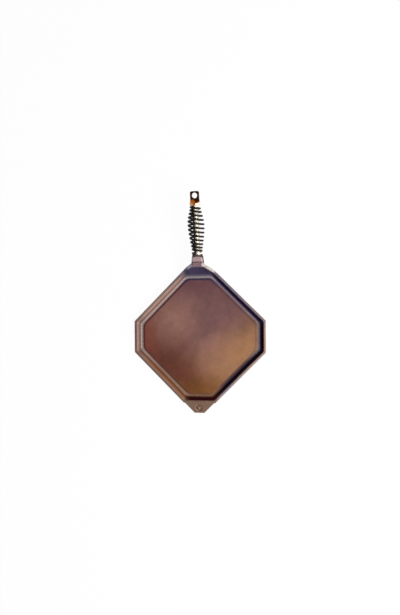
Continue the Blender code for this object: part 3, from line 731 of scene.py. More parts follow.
@dataclass(frozen=True)
class TurnedSteel:
    """Round steel with faint lathe marks, a burnt film in random clouds, and painted shade in that film on the side
    that the light misses; the pale colour of the other side is painted light.
    """

    name: str
    colour: Colour
    film_and_shade: Colour
    roughness: float
    bright_from: tuple[float, float]
    metallic: float = 0.9
    grain: float = 400.0
    grain_stretch: float = 7.5

    def material(self) -> bpy.types.Material:
        """Builds the node material."""
        graph = Graph(self.name)
        place = graph.place()
        # Painted shade: the side away from the lamp takes the film's colour.
        shaded = 1 - graph.split(place)[0].step(*self.bright_from)
        cloud = graph.noise(place, 160.0, 4.0, 0.6)
        marks = graph.noise(graph.stretch(place, (1.0, self.grain_stretch, self.grain_stretch)), self.grain, 2.0)
        colour = graph.mix((cloud.step(0.38, 0.68) * 0.6 + shaded).under(1.0), self.colour, self.film_and_shade)
        return graph.finish({"Metallic": self.metallic, "Base Color": colour,
                             "Roughness": self.roughness + (cloud - 0.5) * 0.3}, (marks, 0.15, 0.0002))


@dataclass(frozen=True)
class BurntWire:
    """Spring wire blackened by heat, browner where hands rub it."""

    black: Colour = linear(18, 12, 12)
    brown: Colour = linear(44, 30, 25)
    roughness: float = 0.55
    specular: float = 0.25

    def material(self) -> bpy.types.Material:
        """Builds the node material."""
        graph = Graph("burnt_spring_wire")
        place = graph.place()
        cloud = graph.noise(place, 210.0, 4.0, 0.6)
        scale = graph.noise(place, 2200.0, 2.0, 0.6)
        colour = graph.mix(cloud.step(0.42, 0.72), self.black, self.brown)
        return graph.finish({"Specular IOR Level": self.specular, "Base Color": colour,
                             "Roughness": self.roughness + (cloud - 0.5) * 0.35}, (scale, 0.2, 0.0002))


@dataclass(frozen=True)
class TarnishedBronze:
    """Bronze that is bright orange near the grip and tarnished nearly black round its eye, painted darker on its
    right side, with painted highlights near its base.
    """

    start: float
    end: float
    bright: Colour = linear(214, 120, 36)
    copper: Colour = linear(150, 62, 18)
    tarnish: Colour = linear(50, 22, 4)
    # pale and reflected_peach are painted highlights near the base, pale on the right and peach on the left.
    pale: Colour = linear(255, 236, 214)
    reflected_peach: Colour = linear(232, 176, 130)
    roughness: float = 0.38
    metallic: float = 0.6
    specular: float = 0.1

    def material(self) -> bpy.types.Material:
        """Builds the node material."""
        graph = Graph("tarnished_bronze")
        place = graph.place()
        cloud = graph.noise(place, 170.0, 4.0, 0.6)
        across, along, _ = graph.split(place)
        # Painted shade: the right side is darker copper, and its tarnish reaches further towards the base.
        right = across.step(-0.003, 0.003)
        dark = (along + (cloud - 0.5) * 0.006 + right * 0.0045).step(self.start, self.end)
        colour = graph.mix(dark, graph.mix(right, self.bright, self.copper), self.tarnish)
        # Painted highlight in a cup-shaped band near the base: pale on the right, peach on the left.
        cup = (across - 0.0010) ** 2.0 * 36.0 + (across - 0.0060).over(0.0) * 0.4
        base_highlight = (along - cup).step(self.start - 0.0084, self.start - 0.0070)
        reflected_tint = graph.mix(across.step(-0.003, 0.000), self.reflected_peach, self.copper)
        colour = graph.mix(base_highlight, graph.mix(across.step(0.0015, 0.0035), reflected_tint, self.pale), colour)
        pits = graph.noise(place, 1400.0, 3.0, 0.6)
        return graph.finish({"Metallic": self.metallic, "Specular IOR Level": self.specular, "Base Color": colour,
                             "Roughness": self.roughness + dark * 0.15}, (pits, 0.2, 0.0002))


# The griddle


@dataclass(frozen=True)
class HandleAxis:
    """The line that rod, coil and lug lie on: its start in the YZ plane and how steeply it rises."""

    reach: float
    height: float
    rise: float

    def world(self, points: Array) -> Array:
        """Moves points from the axis's own frame, whose Z runs along it and whose Y points down, into the world."""
        turn = Matrix.Rotation(self.rise - math.pi / 2, 4, "X")
        matrix = np.array(Matrix.Translation((0.0, self.reach, self.height)) @ turn)
        return points @ matrix[:3, :3].T + matrix[:3, 3]

    def point(self, along: Array | float) -> tuple[Array | float, Array | float]:
        """Reach and height of one or more points on the axis."""
        return self.reach + along * math.cos(self.rise), self.height + along * math.sin(self.rise)

    def cross_pin(self, diameter: float, length: float, place: float) -> Array:
        """A round pin across the axis: a turned profile laid along X.

        Args:
            diameter: The pin's diameter.
            length: Its length.
            place: Where it crosses, along the axis.

        Returns:
            Points in the world, rows by columns by 3.
        """
        radius, half = diameter / 2, length / 2
        lying = revolve(turned_profile(plug(radius, -half, half), PIN_BEVEL), 32)[..., [2, 1, 0]]
        return self.world(lying + np.array((0.0, 0.0, place)))


@dataclass
class Casting:
    """The iron: a cut-cornered pan with a raised face, a neck at one corner and a tab at the opposite one."""

    side: float = 0.2660
    corner_edge: float = 0.0722
    handle_edge: float = 0.0382
    rim_width: float = 0.0048
    handle_rim_width: float = 0.0086
    wall_run: float = 0.0094
    handle_wall_run: float = 0.0224
    gutter_width: float = 0.0046
    face_step_run: float = 0.0034
    corner_radius: float = 0.0050
    corner_growth: float = 0.75
    handle_corner_radius: float = 0.0180
    corner_steps: int = 8
    rim_height: float = 0.0150
    gutter_floor: float = 0.0045
    face_height: float = 0.0066
    wall_draft: float = 0.0008
    draft_margin: float = 0.03
    flat_margin: float = 0.0004
    rim_margin: float = 0.0002
    base_radius: float = 0.0018
    rim_outer_radius: float = 0.0020
    rim_inner_radius: float = 0.0010
    gutter_radius: float = 0.0060
    undercut: float = 0.0215
    ramp_ease: float = 0.12
    ramp_steps: int = 24
    least_ramp: float = 0.0003
    shoulder_draw_in: float = 0.0045
    shoulder_start: float = 0.0110
    shoulder_swell: float = 0.0110
    shoulder_fade: float = 0.0200
    shoulder_depth: float = 0.0360
    shoulder_depth_fade: float = 0.0240
    neck_length: float = 0.0190
    neck_drop: float = 0.0053
    neck_rise: float = math.radians(13.5)
    neck_width: float = 0.0236
    neck_depth: float = 0.0224
    neck_round: float = 0.0042
    neck_turn: float = 0.0024
    neck_edge_radius: float = 0.0034
    neck_root_width: float = 0.0266
    neck_root_depth: float = 0.0205
    neck_root_share: float = 0.62
    neck_root_fullness: float = 0.75
    neck_root_step: float = 0.001
    neck_top_step: float = 0.0008
    neck_fillet: float = 0.0030
    neck_fillet_from: float = 0.30
    neck_fillet_run: float = 0.85
    neck_end_bevel: float = 0.0007
    neck_fullness: float = 0.995
    neck_crown: float = 0.8
    tab_tip: float = 0.0225
    tab_inset: float = 0.0020
    tab_overlap: float = 0.0038
    tab_thickness: float = 0.0070
    tab_step: float = 0.0003
    tab_edge_radius: float = 0.0010
    tab_corner_radius: float = 0.0016
    tab_brow: float = 0.6
    recess_setback: float = 0.0115
    recess_diameter: float = 0.0156
    recess_depth: float = 0.0009
    recess_flare: float = 0.0006
    boss_diameter: float = 0.0100
    boss_height: float = 0.0010
    boss_seat: float = 0.0008
    boss_turn: float = 84.0
    pad_width: float = 0.0214
    pad_step: float = 0.0017
    pad_seat: float = 0.0024
    pad_setback: float = 0.0005
    pad_edge_radius: float = 0.0007
    pad_corner_radius: float = 0.0012
    bore: float = 0.0106
    bore_depth: float = 0.0163
    pin_hole: float = 0.0038
    pin_setback: float = 0.0085
    pin_tool_length: float = 0.05

    def __post_init__(self) -> None:
        """Works out what follows from the sizes."""
        self.diagonal = self.side / math.sqrt(2)
        self.corner_reach = self.diagonal - self.corner_edge / 2
        self.handle_reach = self.diagonal - self.handle_edge / 2
        self.slope = (self.rim_height - self.gutter_floor) / self.wall_run
        self.rise = self.slope * (self.handle_wall_run - self.wall_run)
        self.crest = self.rim_height + self.rise
        self.axis = HandleAxis(self.handle_reach + self.neck_length, self.crest - self.neck_drop, self.neck_rise)
        self.tab_reach = self.diagonal - self.tab_inset * math.sqrt(2) - self.tab_tip / 2

    def section(self) -> tuple[Array, Array, Array, Array]:
        """The pan's section, from the underside over the rim to the cooking face.

        Returns:
            Inset from the outline and height of each row, the share of the handle corner's lift and undercut
            that it takes, and its zone.
        """
        low, rim, margin = self.base_radius, self.rim_height, SUPPORT_MARGIN
        outer, inner = self.rim_outer_radius, self.rim_inner_radius
        angle = math.degrees(math.atan(self.slope))
        foot_inset = self.rim_width + self.wall_run
        bend = self.gutter_radius * math.tan(math.radians(angle) / 2)
        turn = np.radians(angle) * np.linspace(1, 0, 9)
        rows = np.linspace(0, 1, 11)
        draft, near, far = self.wall_draft, self.draft_margin, 1 - self.draft_margin
        under = np.array([[draft + low + self.flat_margin, 0.0]])
        base = arc((draft + low, low), low, -90, 0)
        outside = np.array([[draft * far, low + margin], [draft * near, rim - outer - margin]])
        lip = arc((outer, rim - outer), outer, 0, 90, 10)
        flat = np.array([[outer + self.rim_margin, rim], [self.rim_width - inner - self.rim_margin / 2, rim]])
        brow = arc((self.rim_width - inner, rim - inner), inner, 90, 180 - angle, 6)
        fillet = np.stack((foot_inset + bend - self.gutter_radius * np.sin(turn),
                           self.gutter_floor + self.gutter_radius * (1 - np.cos(turn))), axis=-1)
        share = np.array((0.04, 0.28, 0.52, 0.76, 0.96))[:, None]
        wall = brow[-1] + (fillet[0] - brow[-1]) * share
        floor = np.array([[fillet[-1, 0] + margin, self.gutter_floor]])
        step = np.stack((foot_inset + self.gutter_width + self.face_step_run * rows,
                         self.gutter_floor + (self.face_height - self.gutter_floor) * ease(rows)), axis=-1)
        face = np.array([[step[-1, 0] + self.flat_margin, self.face_height]])
        parts = [(under, Zone.UNDERSIDE, Zone.UNDERSIDE), (base, Zone.UNDERSIDE, Zone.BASE_EDGE),
                 (outside, Zone.BASE_EDGE, Zone.RIM_OUTSIDE), (lip, Zone.RIM_OUTSIDE, Zone.RIM_TOP),
                 (flat, Zone.RIM_TOP, Zone.RIM_INSIDE), (brow, Zone.RIM_INSIDE, Zone.WALL_TOP),
                 (wall, Zone.WALL_TOP, Zone.WALL_FOOT), (fillet, Zone.WALL_FOOT, Zone.GUTTER),
                 (floor, Zone.GUTTER, Zone.GUTTER), (step, Zone.STEP_FOOT, Zone.FACE_EDGE),
                 (face, Zone.FACE_EDGE, Zone.FACE_EDGE)]
        zones = np.concatenate([np.linspace(first, last, len(part)) for part, first, last in parts])
        inset, height = np.concatenate([part for part, _, _ in parts]).T
        outer_rows = sum(len(part) for part, _, _ in parts[:5])
        lift = np.where(np.arange(len(inset)) < outer_rows, height / rim,
                        np.clip((foot_inset - inset) / self.wall_run, 0, 1))
        return inset, height, lift, zones

    def ramp(self, share: Array) -> Array:
        """A straight ramp from 0 to 1 whose foot and top are rounded by a parabola."""
        soft, from_end = self.ramp_ease, np.minimum(share, 1 - share)
        round_end = (from_end + soft) ** 2 / (4 * soft)
        bent = np.where(from_end < -soft, 0.0, np.where(from_end < soft, round_end, from_end))
        return np.where(share < 0.5, bent, 1 - bent)

    def draw_in(self, plan: Array) -> Array:
        """How far the shoulders are drawn in: a smooth rise across, a straight fall and a fade to the gutter."""
        beside = np.abs(plan[..., 0]) - self.shoulder_start
        fall = 1 - np.clip((beside - self.shoulder_swell) / self.shoulder_fade, 0, 1)
        inwards = ease((plan[..., 1] - self.handle_reach + self.shoulder_depth) / self.shoulder_depth_fade)
        return self.shoulder_draw_in * ease(beside / self.shoulder_swell) * fall * inwards

    def ring_lines(self, inset: Array, height: Array, lift: Array, undercut: Array) -> Array:
        """Closed lines of the pan: the cut-cornered square drawn in, and lifted at the handle corner.

        The lift follows a ramp along the two sides next to the handle corner. Beside the crest the lines are
        drawn in.

        Args:
            inset: How far each line lies inside the outline.
            height: Its height away from the handle corner.
            lift: The share of the corner's lift that it takes.
            undercut: How far the handle corner is drawn in where the lift is none.

        Returns:
            Points, rows by columns by 3.
        """
        knots = np.cumsum((0, self.rim_width, self.wall_run, self.gutter_width))
        ends = np.cumsum((0, self.handle_rim_width, self.handle_wall_run, self.gutter_width))
        at_handle = np.interp(inset, knots, ends) + np.maximum(0, inset - knots[-1])
        diagonal = self.diagonal - inset * math.sqrt(2)
        cut = self.corner_reach - inset
        reach = self.handle_reach - at_handle - undercut * (1 - lift)
        near, far = diagonal - cut, diagonal - reach
        corners = np.stack([np.stack(pair, axis=-1) for pair in (
            (far, reach), (-far, reach), (-cut, near), (-cut, -near),
            (-near, -cut), (near, -cut), (cut, -near), (cut, near))], axis=1)
        radii = np.repeat((self.corner_radius + self.corner_growth * inset)[:, None], 8, axis=1)
        radii[:, :2] = self.handle_corner_radius
        plan = rounded_polygon(corners, radii, self.corner_steps)
        crest = 2 * (self.corner_steps + 3)
        right_end, left_end = plan[:, 0], plan[:, crest - 1]
        foot = self.handle_reach - self.handle_rim_width - self.handle_wall_run + self.wall_run
        foot = foot + (self.rim_width - inset) / math.sqrt(2)
        run = self.rise / self.slope
        length = (left_end[:, 1] - foot + self.ramp_ease * run) * math.sqrt(2) * lift
        distance = np.maximum(self.least_ramp, length)[:, None] * np.linspace(0, 1, self.ramp_steps + 1)[1:]
        slant = distance[..., None] / math.sqrt(2)
        left = left_end[:, None] + slant * np.array((-1.0, -1.0))
        right = right_end[:, None] + slant[:, ::-1] * np.array((1.0, -1.0))
        plan = np.concatenate((plan[:, :crest], left, plan[:, crest:], right), axis=1)
        ramp = self.ramp((plan[..., 1] - foot[:, None]) / run)
        heights = height[:, None] + lift[:, None] * self.rise * ramp
        return np.stack((plan[..., 0], plan[..., 1] - self.draw_in(plan), heights), axis=-1)

    def pan(self) -> bpy.types.Mesh:
        """The pan, with its flat faces closed by lines that shrink towards the middle."""
        inset, height, lift, zones = self.section()
        undercut = np.where(zones < Zone.WALL_TOP, self.undercut, 0.0)
        rings = self.ring_lines(inset, height, lift, undercut)
        shrink = np.linspace(0.04, 0.92, 5)[:, None, None]
        under = lifted(rings[0, :, :2] * shrink, np.zeros(5))
        face = lifted(rings[-1, :, :2] * shrink[::-1], np.full(5, self.face_height))
        zones = np.concatenate((np.full(5, Zone.UNDERSIDE), zones, np.full(5, Zone.FACE_MIDDLE)))
        return grid_mesh("griddle_casting", np.concatenate((under, rings, face)), zones)

    def neck(self) -> bpy.types.Mesh:
        """The neck: rounded rectangles along a bent path, drawn out into a fillet where they leave the wall.

        The fillet widens a ring by its radius less the root of the radius's square less the square of what is
        left of the fillet's length. The outer end is drawn in along most of a quarter circle.
        """
        gutter_reach = self.handle_reach - self.handle_rim_width - self.handle_wall_run
        inner = np.array((gutter_reach, self.gutter_floor)) + self.neck_root_share * np.array(
            (self.handle_wall_run, self.crest - self.gutter_floor))
        outer = np.array((self.handle_reach - self.undercut, 0.0)) + self.neck_root_share * np.array(
            (self.undercut, self.crest))
        top = self.crest + self.neck_top_step
        end = -self.neck_round
        places = np.array((
            (inner + outer) / 2, (self.handle_reach + self.neck_root_step, top - self.neck_root_depth / 2),
            self.axis.point(end - self.neck_turn), self.axis.point(end), self.axis.point(0.0)))
        root, full = self.neck_edge_radius, self.neck_fullness * self.neck_depth / 2
        frames = np.array((
            places[:, 0], places[:, 1], np.repeat((self.neck_root_width / 2, self.neck_width / 2), (2, 3)),
            (np.linalg.norm(outer - inner) * self.neck_root_fullness, self.neck_root_depth / 2,
             *[self.neck_depth / 2] * 3),
            (math.atan(self.slope) - math.pi / 2, 0.0, *[self.neck_rise] * 3), (root, root, root, full, full)))
        at = np.concatenate((np.linspace(0, 3, 25), np.linspace(3, 4, 4)[1:]))
        bevel = np.radians(np.linspace(0, 80, 5))[1:]
        last = len(at) - 1
        rows = np.minimum(np.arange(last + len(bevel)), last)
        reach, height, wide, deep, lean, radius = (np.interp(at, np.arange(5), values)[rows] for values in frames)
        shrink = np.concatenate((np.zeros(last), self.neck_end_bevel * (1 - np.cos(bevel))))
        left = np.clip(1 - (at[rows] - self.neck_fillet_from) / self.neck_fillet_run, 0, 1)
        flare = self.neck_fillet * (1 - np.sqrt(1 - left * left))
        height = height - flare / 2
        reach[last:], height[last:] = self.axis.point(self.neck_end_bevel * (np.sin(bevel) - 1))
        wide, deep = wide - shrink, deep - shrink
        plan = rounded_polygon(rectangles(wide + flare, deep + flare / 2), radius - shrink, 8)
        across, up = plan[..., 0], plan[..., 1]
        points = np.stack((across, reach[:, None] - up * np.sin(lean)[:, None],
                           height[:, None] + up * np.cos(lean)[:, None]), axis=-1)
        zones = np.where(up > self.neck_crown * deep[:, None], Zone.RIM_TOP, Zone.BASE_EDGE)
        zones[-1] = Zone.BASE_EDGE
        return grid_mesh("neck", points, zones)

    def tab(self) -> bpy.types.Mesh:
        """The foot tab: a four-cornered plate whose sides move in along its rounded upper and lower edges."""
        root = self.corner_reach - self.tab_overlap
        diagonal = self.tab_reach + self.tab_tip / 2
        corners = np.array(((diagonal - root, -root), (root - diagonal, -root),
                            (-self.tab_tip / 2, -self.tab_reach), (self.tab_tip / 2, -self.tab_reach)))
        edge, turn = self.tab_edge_radius, quarter(7)
        top = self.rim_height + self.tab_step
        low = top - self.tab_thickness
        drawn = edge * (1 - np.cos(np.concatenate((turn[::-1], turn))))
        drawn = np.concatenate((drawn[:1] + SUPPORT_MARGIN, drawn, drawn[-1:] + SUPPORT_MARGIN))
        heights = np.concatenate(([low], low + edge * (1 - np.sin(turn[::-1])),
                                  top - edge + edge * np.sin(turn), [top]))
        plan = rounded_polygon(offset_corners(corners, drawn), self.tab_corner_radius - CORNER_SHRINK * drawn, 6)
        zones = np.where(heights > top - self.tab_brow * edge, Zone.RIM_TOP, Zone.BASE_EDGE)
        return grid_mesh("tab", lifted(plan, heights), zones)

    def pad(self) -> bpy.types.Mesh:
        """The low block where the neck runs out over the rim, with a quarter round along its upper edges."""
        length = self.handle_rim_width - 2 * self.pad_setback
        top = self.crest + self.pad_step
        edge, turn = self.pad_edge_radius, quarter(6)
        drawn = np.concatenate(([0.0], edge * (1 - np.cos(turn)), [edge + SUPPORT_MARGIN]))
        heights = np.concatenate(([self.crest - self.pad_seat], top - edge + edge * np.sin(turn), [top]))
        plan = rounded_polygon(rectangles(self.pad_width / 2 - drawn, length / 2 - drawn),
                               self.pad_corner_radius - CORNER_SHRINK * drawn, 6)
        plan = plan + np.array((0.0, self.handle_reach - self.handle_rim_width / 2))
        return grid_mesh("pad", lifted(plan, heights), Zone.RIM_TOP)

    def recess(self) -> bpy.types.Mesh:
        """The tool for the tab's round recess, flared towards the top and rounded into its floor."""
        radius, depth = self.recess_diameter / 2, self.recess_depth
        pole, top = radius * POLE_SHARE, depth + OVERSHOOT / 2
        outline = [(pole, 0.0), (radius - self.recess_flare, 0.0), (radius, depth), (radius, top), (pole, top)]
        points = self.on_tab(turned_profile(outline, SUPPORT_MARGIN))
        return grid_mesh("tab_recess", points, Zone.RIM_TOP)

    def boss(self) -> bpy.types.Mesh:
        """The low dome on the recess's floor: a quarter of an ellipse turned round."""
        turn, radius = quarter(12, self.boss_turn), self.boss_diameter / 2
        dome = np.stack((radius * np.cos(turn), self.boss_height * np.sin(turn)), axis=-1)
        profile = np.concatenate(([[radius, -self.boss_seat]], dome))
        return grid_mesh("tab_boss", self.on_tab(profile), Zone.RIM_TOP)

    def on_tab(self, profile: Array) -> Array:
        """Turns a profile round the middle of the tab's recess, from its floor up."""
        floor = self.rim_height + self.tab_step - self.recess_depth
        return revolve(profile, 64) + np.array((0.0, self.recess_setback - self.tab_reach, floor))

    def build(self) -> bpy.types.Object:
        """Joins the pan, pad, neck, tab and boss, and bores them for the rod and its pin."""
        bend = self.axis.point(-self.neck_round - self.neck_turn)[0]
        iron = SeasonedIron(self.handle_reach, bend, self.tab_reach - self.recess_setback)
        casting = place_item("griddle_casting_dressed", self.pan(), iron.material())
        socket = self.axis.world(revolve(plug(self.bore / 2, -self.bore_depth, OVERSHOOT), 40))
        pin = self.axis.cross_pin(self.pin_hole, self.pin_tool_length, -self.pin_setback)
        combine(casting, [(Operation.ADD, self.pad()), (Operation.ADD, self.neck()), (Operation.ADD, self.tab()),
                          (Operation.CUT, self.recess()), (Operation.ADD, self.boss()),
                          (Operation.CUT, grid_mesh("rod_bore", socket, Zone.BASE_EDGE)),
                          (Operation.CUT, grid_mesh("pin_bore", pin, Zone.BASE_EDGE))])
        settle(casting, "seasoned_iron", "griddle_casting")
        return casting


@dataclass
class Grip:
    """Everything on the handle's axis: rod, collar, coil, seat, lug and the pins that lock them."""

    axis: HandleAxis
    gap: float = 0.0003
    rod_diameter: float = 0.0140
    root_diameter: float = 0.0100
    root_length: float = 0.0160
    stud_diameter: float = 0.0080
    stud_length: float = 0.0067
    collar_diameter: float = 0.0252
    collar_thickness: float = 0.0035
    seat_thickness: float = 0.0015
    wire: float = 0.0040
    turns: int = 12
    coil_length: float = 0.0997
    rod_gap: float = 0.0010
    widest: float = 0.0380
    widest_at: float = 0.0610
    lower_fullness: float = 1.25
    upper_fullness: float = 1.60
    end_gap: float = 0.0006
    pitch_fullness: float = 0.45
    lean: float = 0.095
    wire_shown: float = 0.0045
    points_per_turn: int = 48
    wire_sides: int = 16
    base_diameter: float = 0.0240
    base_height: float = 0.0022
    shoulder_length: float = 0.0104
    lug_length: float = 0.0291
    tab_width: float = 0.0200
    tab_thickness: float = 0.0070
    tab_edge_radius: float = 0.0016
    end_radius: float = 0.0042
    shoulder_fullness: float = 1.9
    eye: float = 0.0122
    eye_from_end: float = 0.0094
    neck_pin: float = 0.0032
    neck_pin_length: float = 0.0226
    neck_pin_setback: float = 0.0085
    lug_pin: float = 0.0024
    lug_pin_offset: float = 0.0032
    lug_pin_tool_length: float = 0.034
    pin_recess: float = 0.0005
    pole_radius: float = 0.0002
    rod_bevel: float = 0.0005
    ring_edge: float = 0.0006
    stop_half: float = 0.0009
    stop_edge: float = 0.0002
    stop_corner: float = 0.0003
    stop_height: float = 0.0028
    stop_seat: float = 0.0005
    stop_inset: float = 0.0008
    wire_end_share: float = 0.86
    base_edge: float = 0.0007
    end_thinning: float = 0.0022
    end_thin_from: float = 0.8
    eye_flare: float = 0.0009
    eye_clearance: float = 0.003
    lug_fullness: float = 0.996
    bright_from: float = 0.0072
    dark_from: float = 0.0118

    def __post_init__(self) -> None:
        """Works out the places along the axis."""
        self.collar_end = self.gap + self.collar_thickness
        self.coil_start = self.collar_end + self.gap + self.wire / 2
        self.coil_end = self.coil_start + self.coil_length
        self.seat_start = self.coil_end + self.wire / 2 + self.gap
        self.seat_end = self.seat_start + self.seat_thickness
        self.lug_start = self.seat_end + self.gap
        self.lug_end = self.lug_start + self.lug_length
        self.end_diameter = self.rod_diameter + 2 * (self.rod_gap + self.wire)

    def rod(self) -> bpy.types.Object:
        """The rod: a turned profile with a thinner root in the neck and a stud in the lug."""
        core, root, stud = self.rod_diameter / 2, self.root_diameter / 2, self.stud_diameter / 2
        tip = self.seat_end + self.stud_length
        outline = [(self.pole_radius, -self.root_length), (root, -self.root_length), (root, self.gap),
                   (core, self.gap), (core, self.seat_end), (stud, self.seat_end), (stud, tip),
                   (self.pole_radius, tip)]
        # The rod is pale on its lit right side and dark on its left, as painted light and shade.
        steel = TurnedSteel("rod_steel", linear(240, 230, 210), linear(34, 28, 30), 0.5, (-0.004, 0.0005), 0.3)
        mesh = grid_mesh("handle_rod", self.axis.world(revolve(turned_profile(outline, self.rod_bevel), 64)))
        return place_item("handle_rod_dressed", mesh, steel.material())

    def ring(self, name: str, diameter: float, start: float, thickness: float, towards: int,
             steel: bpy.types.Material) -> bpy.types.Object:
        """A flat ring on the rod with the small block that the wire's end butts against.

        Args:
            name: The piece's name.
            diameter: The ring's outer diameter.
            start: Where its lower face lies, along the axis.
            thickness: Its thickness.
            towards: 1 if the block stands above the ring, -1 if below.
            steel: Its material.

        Returns:
            The ring.
        """
        soft, rows = self.ring_edge, 7
        angle = np.radians(np.concatenate((np.linspace(-90, 0, rows), np.linspace(0, 90, rows))))
        middle = np.repeat((start + soft, start + thickness - soft), rows)
        outside = np.stack((diameter / 2 - soft + soft * np.cos(angle), middle + soft * np.sin(angle)), axis=-1)
        bore = self.rod_diameter / 2 + self.gap
        loop = np.concatenate((outside, [[bore, start + thickness], [bore, start]]))
        mesh = torus_mesh(name, self.axis.world(revolve(loop).swapaxes(0, 1)))
        ring = place_item(name, mesh, steel)
        block = self.stop(start + (thickness if towards > 0 else 0), towards)
        combine(ring, [(Operation.ADD, grid_mesh(name + "_stop", block))])
        return ring

    def stop(self, face: float, towards: int) -> Array:
        """The small block on a ring's face that the wire's end butts against, as points in the world."""
        across = -towards * (self.wire + self.gap + self.stop_half)
        down = (self.end_diameter - self.wire) / 2 - self.stop_inset
        low, high = sorted((face - towards * self.stop_seat, face + towards * self.stop_height))
        edge = self.stop_edge
        half = self.stop_half - np.array((edge, 0, 0, edge))
        plan = rounded_polygon(rectangles(half, half + edge), np.full(4, self.stop_corner), 3)
        heights = np.array((low, low + edge, high - edge, high))
        return self.axis.world(lifted(plan + np.array((across, down)), heights))

    def coil(self) -> bpy.types.Object:
        """The wound grip: a left-hand barrel coil of one wire.

        The centre line turns evenly while it climbs by a pitch that grows as a power of a sine towards the
        middle. Its radius swells as a power of a sine from each end to the widest place. The turns lean by
        the place across times a sine along the grip. Both ends run straight for a wire's diameter.
        """
        steps = self.turns * self.points_per_turn
        share = np.linspace(0, 1, steps + 1)
        middles = (share[1:] + share[:-1]) / 2
        swell = np.sin(np.pi * middles) ** self.pitch_fullness
        least = self.wire + self.end_gap
        pitch = least + (self.coil_length / self.turns - least) * swell / swell.mean()
        along = np.concatenate(([0], np.cumsum(pitch) / self.points_per_turn))
        lower = np.sin(np.pi / 2 * np.clip(along / self.widest_at, 0, 1)) ** self.lower_fullness
        from_end = np.clip((self.coil_length - along) / (self.coil_length - self.widest_at), 0, 1)
        upper = np.sin(np.pi / 2 * from_end) ** self.upper_fullness
        full = np.where(along < self.widest_at, lower, upper)
        radius = (self.end_diameter + (self.widest - self.end_diameter) * full - self.wire) / 2
        turn = 2 * np.pi * self.turns * share - np.pi / 2
        spoke = np.stack((np.cos(turn), -np.sin(turn), np.zeros_like(turn)), axis=-1)
        leaned = self.coil_start + along - self.lean * radius * np.cos(turn) * np.sin(np.pi * share)
        path = spoke * radius[:, None] + np.array((0.0, 0.0, 1.0)) * leaned[:, None]
        run = np.array((0.05, 0.35, 0.65, 0.95, 1.0))[:, None] * np.array((self.wire, 0.0, 0.0))
        path = np.concatenate((path[0] - run[::-1], path, path[-1] + run))
        spoke = np.pad(spoke, ((len(run), len(run)), (0, 0)), mode="edge")
        radii = np.full(len(path), self.wire_shown / 2)
        radii[[0, -1]] *= self.wire_end_share
        mesh = grid_mesh("coil_grip", self.axis.world(tube(path, spoke, radii, self.wire_sides)))
        return place_item("coil_grip_dressed", mesh, BurntWire().material())

    def lug(self) -> bpy.types.Object:
        """The hanging lug: a round base, a hollow shoulder that flattens into a tab, and an eye.

        The shoulder's width and thickness shrink by a power of what is left of its length, and the tab's end
        follows a quarter circle.
        """
        base, tab, thick = self.base_diameter / 2, self.tab_width / 2, self.tab_thickness / 2
        edge, soft = self.base_edge, quarter(6)[::-1]
        along = np.linspace(0, 1, 25)
        left = along[::-1] ** self.shoulder_fullness
        turn = np.pi / 2 * np.concatenate((np.linspace(0, 0.9, 15), (0.95, 0.985)))
        height = np.concatenate((self.lug_start + edge * (1 - np.sin(soft)),
                                 self.lug_start + self.base_height + self.shoulder_length * along,
                                 self.lug_end - self.end_radius * (1 - np.sin(turn))))
        root = base - edge * (1 - np.cos(soft))
        wide = np.concatenate((root, tab + (base - tab) * left, tab - self.end_radius * (1 - np.cos(turn))))
        deep = np.concatenate((root, thick + (base - thick) * left,
                               thick - self.end_thinning * np.maximum(0.0, np.sin(turn) - self.end_thin_from)))
        full, rounded = base * self.lug_fullness, self.tab_edge_radius
        radius = np.concatenate((np.full(len(soft), full), rounded + (full - rounded) * left,
                                 np.full(len(turn), rounded)))
        radius = np.minimum(radius, self.lug_fullness * np.minimum(wide, deep))
        points = lifted(rounded_polygon(rectangles(wide, deep), radius, 12), height)
        bronze = TarnishedBronze(*(self.axis.point(self.lug_start + place)[0]
                                   for place in (self.bright_from, self.dark_from)))
        mesh = grid_mesh("hanging_lug", self.axis.world(points))
        lug = place_item("hanging_lug_dressed", mesh, bronze.material())
        eye, flare, turn = self.eye / 2, self.eye_flare, quarter(7)
        lip = np.stack((eye + flare * (1 - np.cos(turn)), thick - flare + flare * np.sin(turn)), axis=-1)
        lip = np.concatenate((lip, [[eye + flare, thick + self.eye_clearance]]))
        profile = np.concatenate((lip[::-1] * (1, -1), lip))
        hole = revolve(profile, 64)[..., [0, 2, 1]] + np.array((0.0, 0.0, self.lug_end - self.eye_from_end))
        socket = plug(self.stud_diameter / 2 + self.gap, -OVERSHOOT, self.stud_length)
        socket = revolve(socket, 40) + np.array((0.0, 0.0, self.lug_start))
        pin = self.axis.cross_pin(self.lug_pin + 2 * self.gap, self.lug_pin_tool_length,
                                  self.lug_start + self.lug_pin_offset)
        combine(lug, [(Operation.CUT, grid_mesh("eye", self.axis.world(hole))),
                      (Operation.CUT, grid_mesh("stud_bore", self.axis.world(socket))),
                      (Operation.CUT, grid_mesh("lug_pin_bore", pin))])
        return lug

    def build(self) -> None:
        """Builds, dresses and seats every piece on the axis."""
        settle(self.rod(), "rod_steel", "handle_rod")
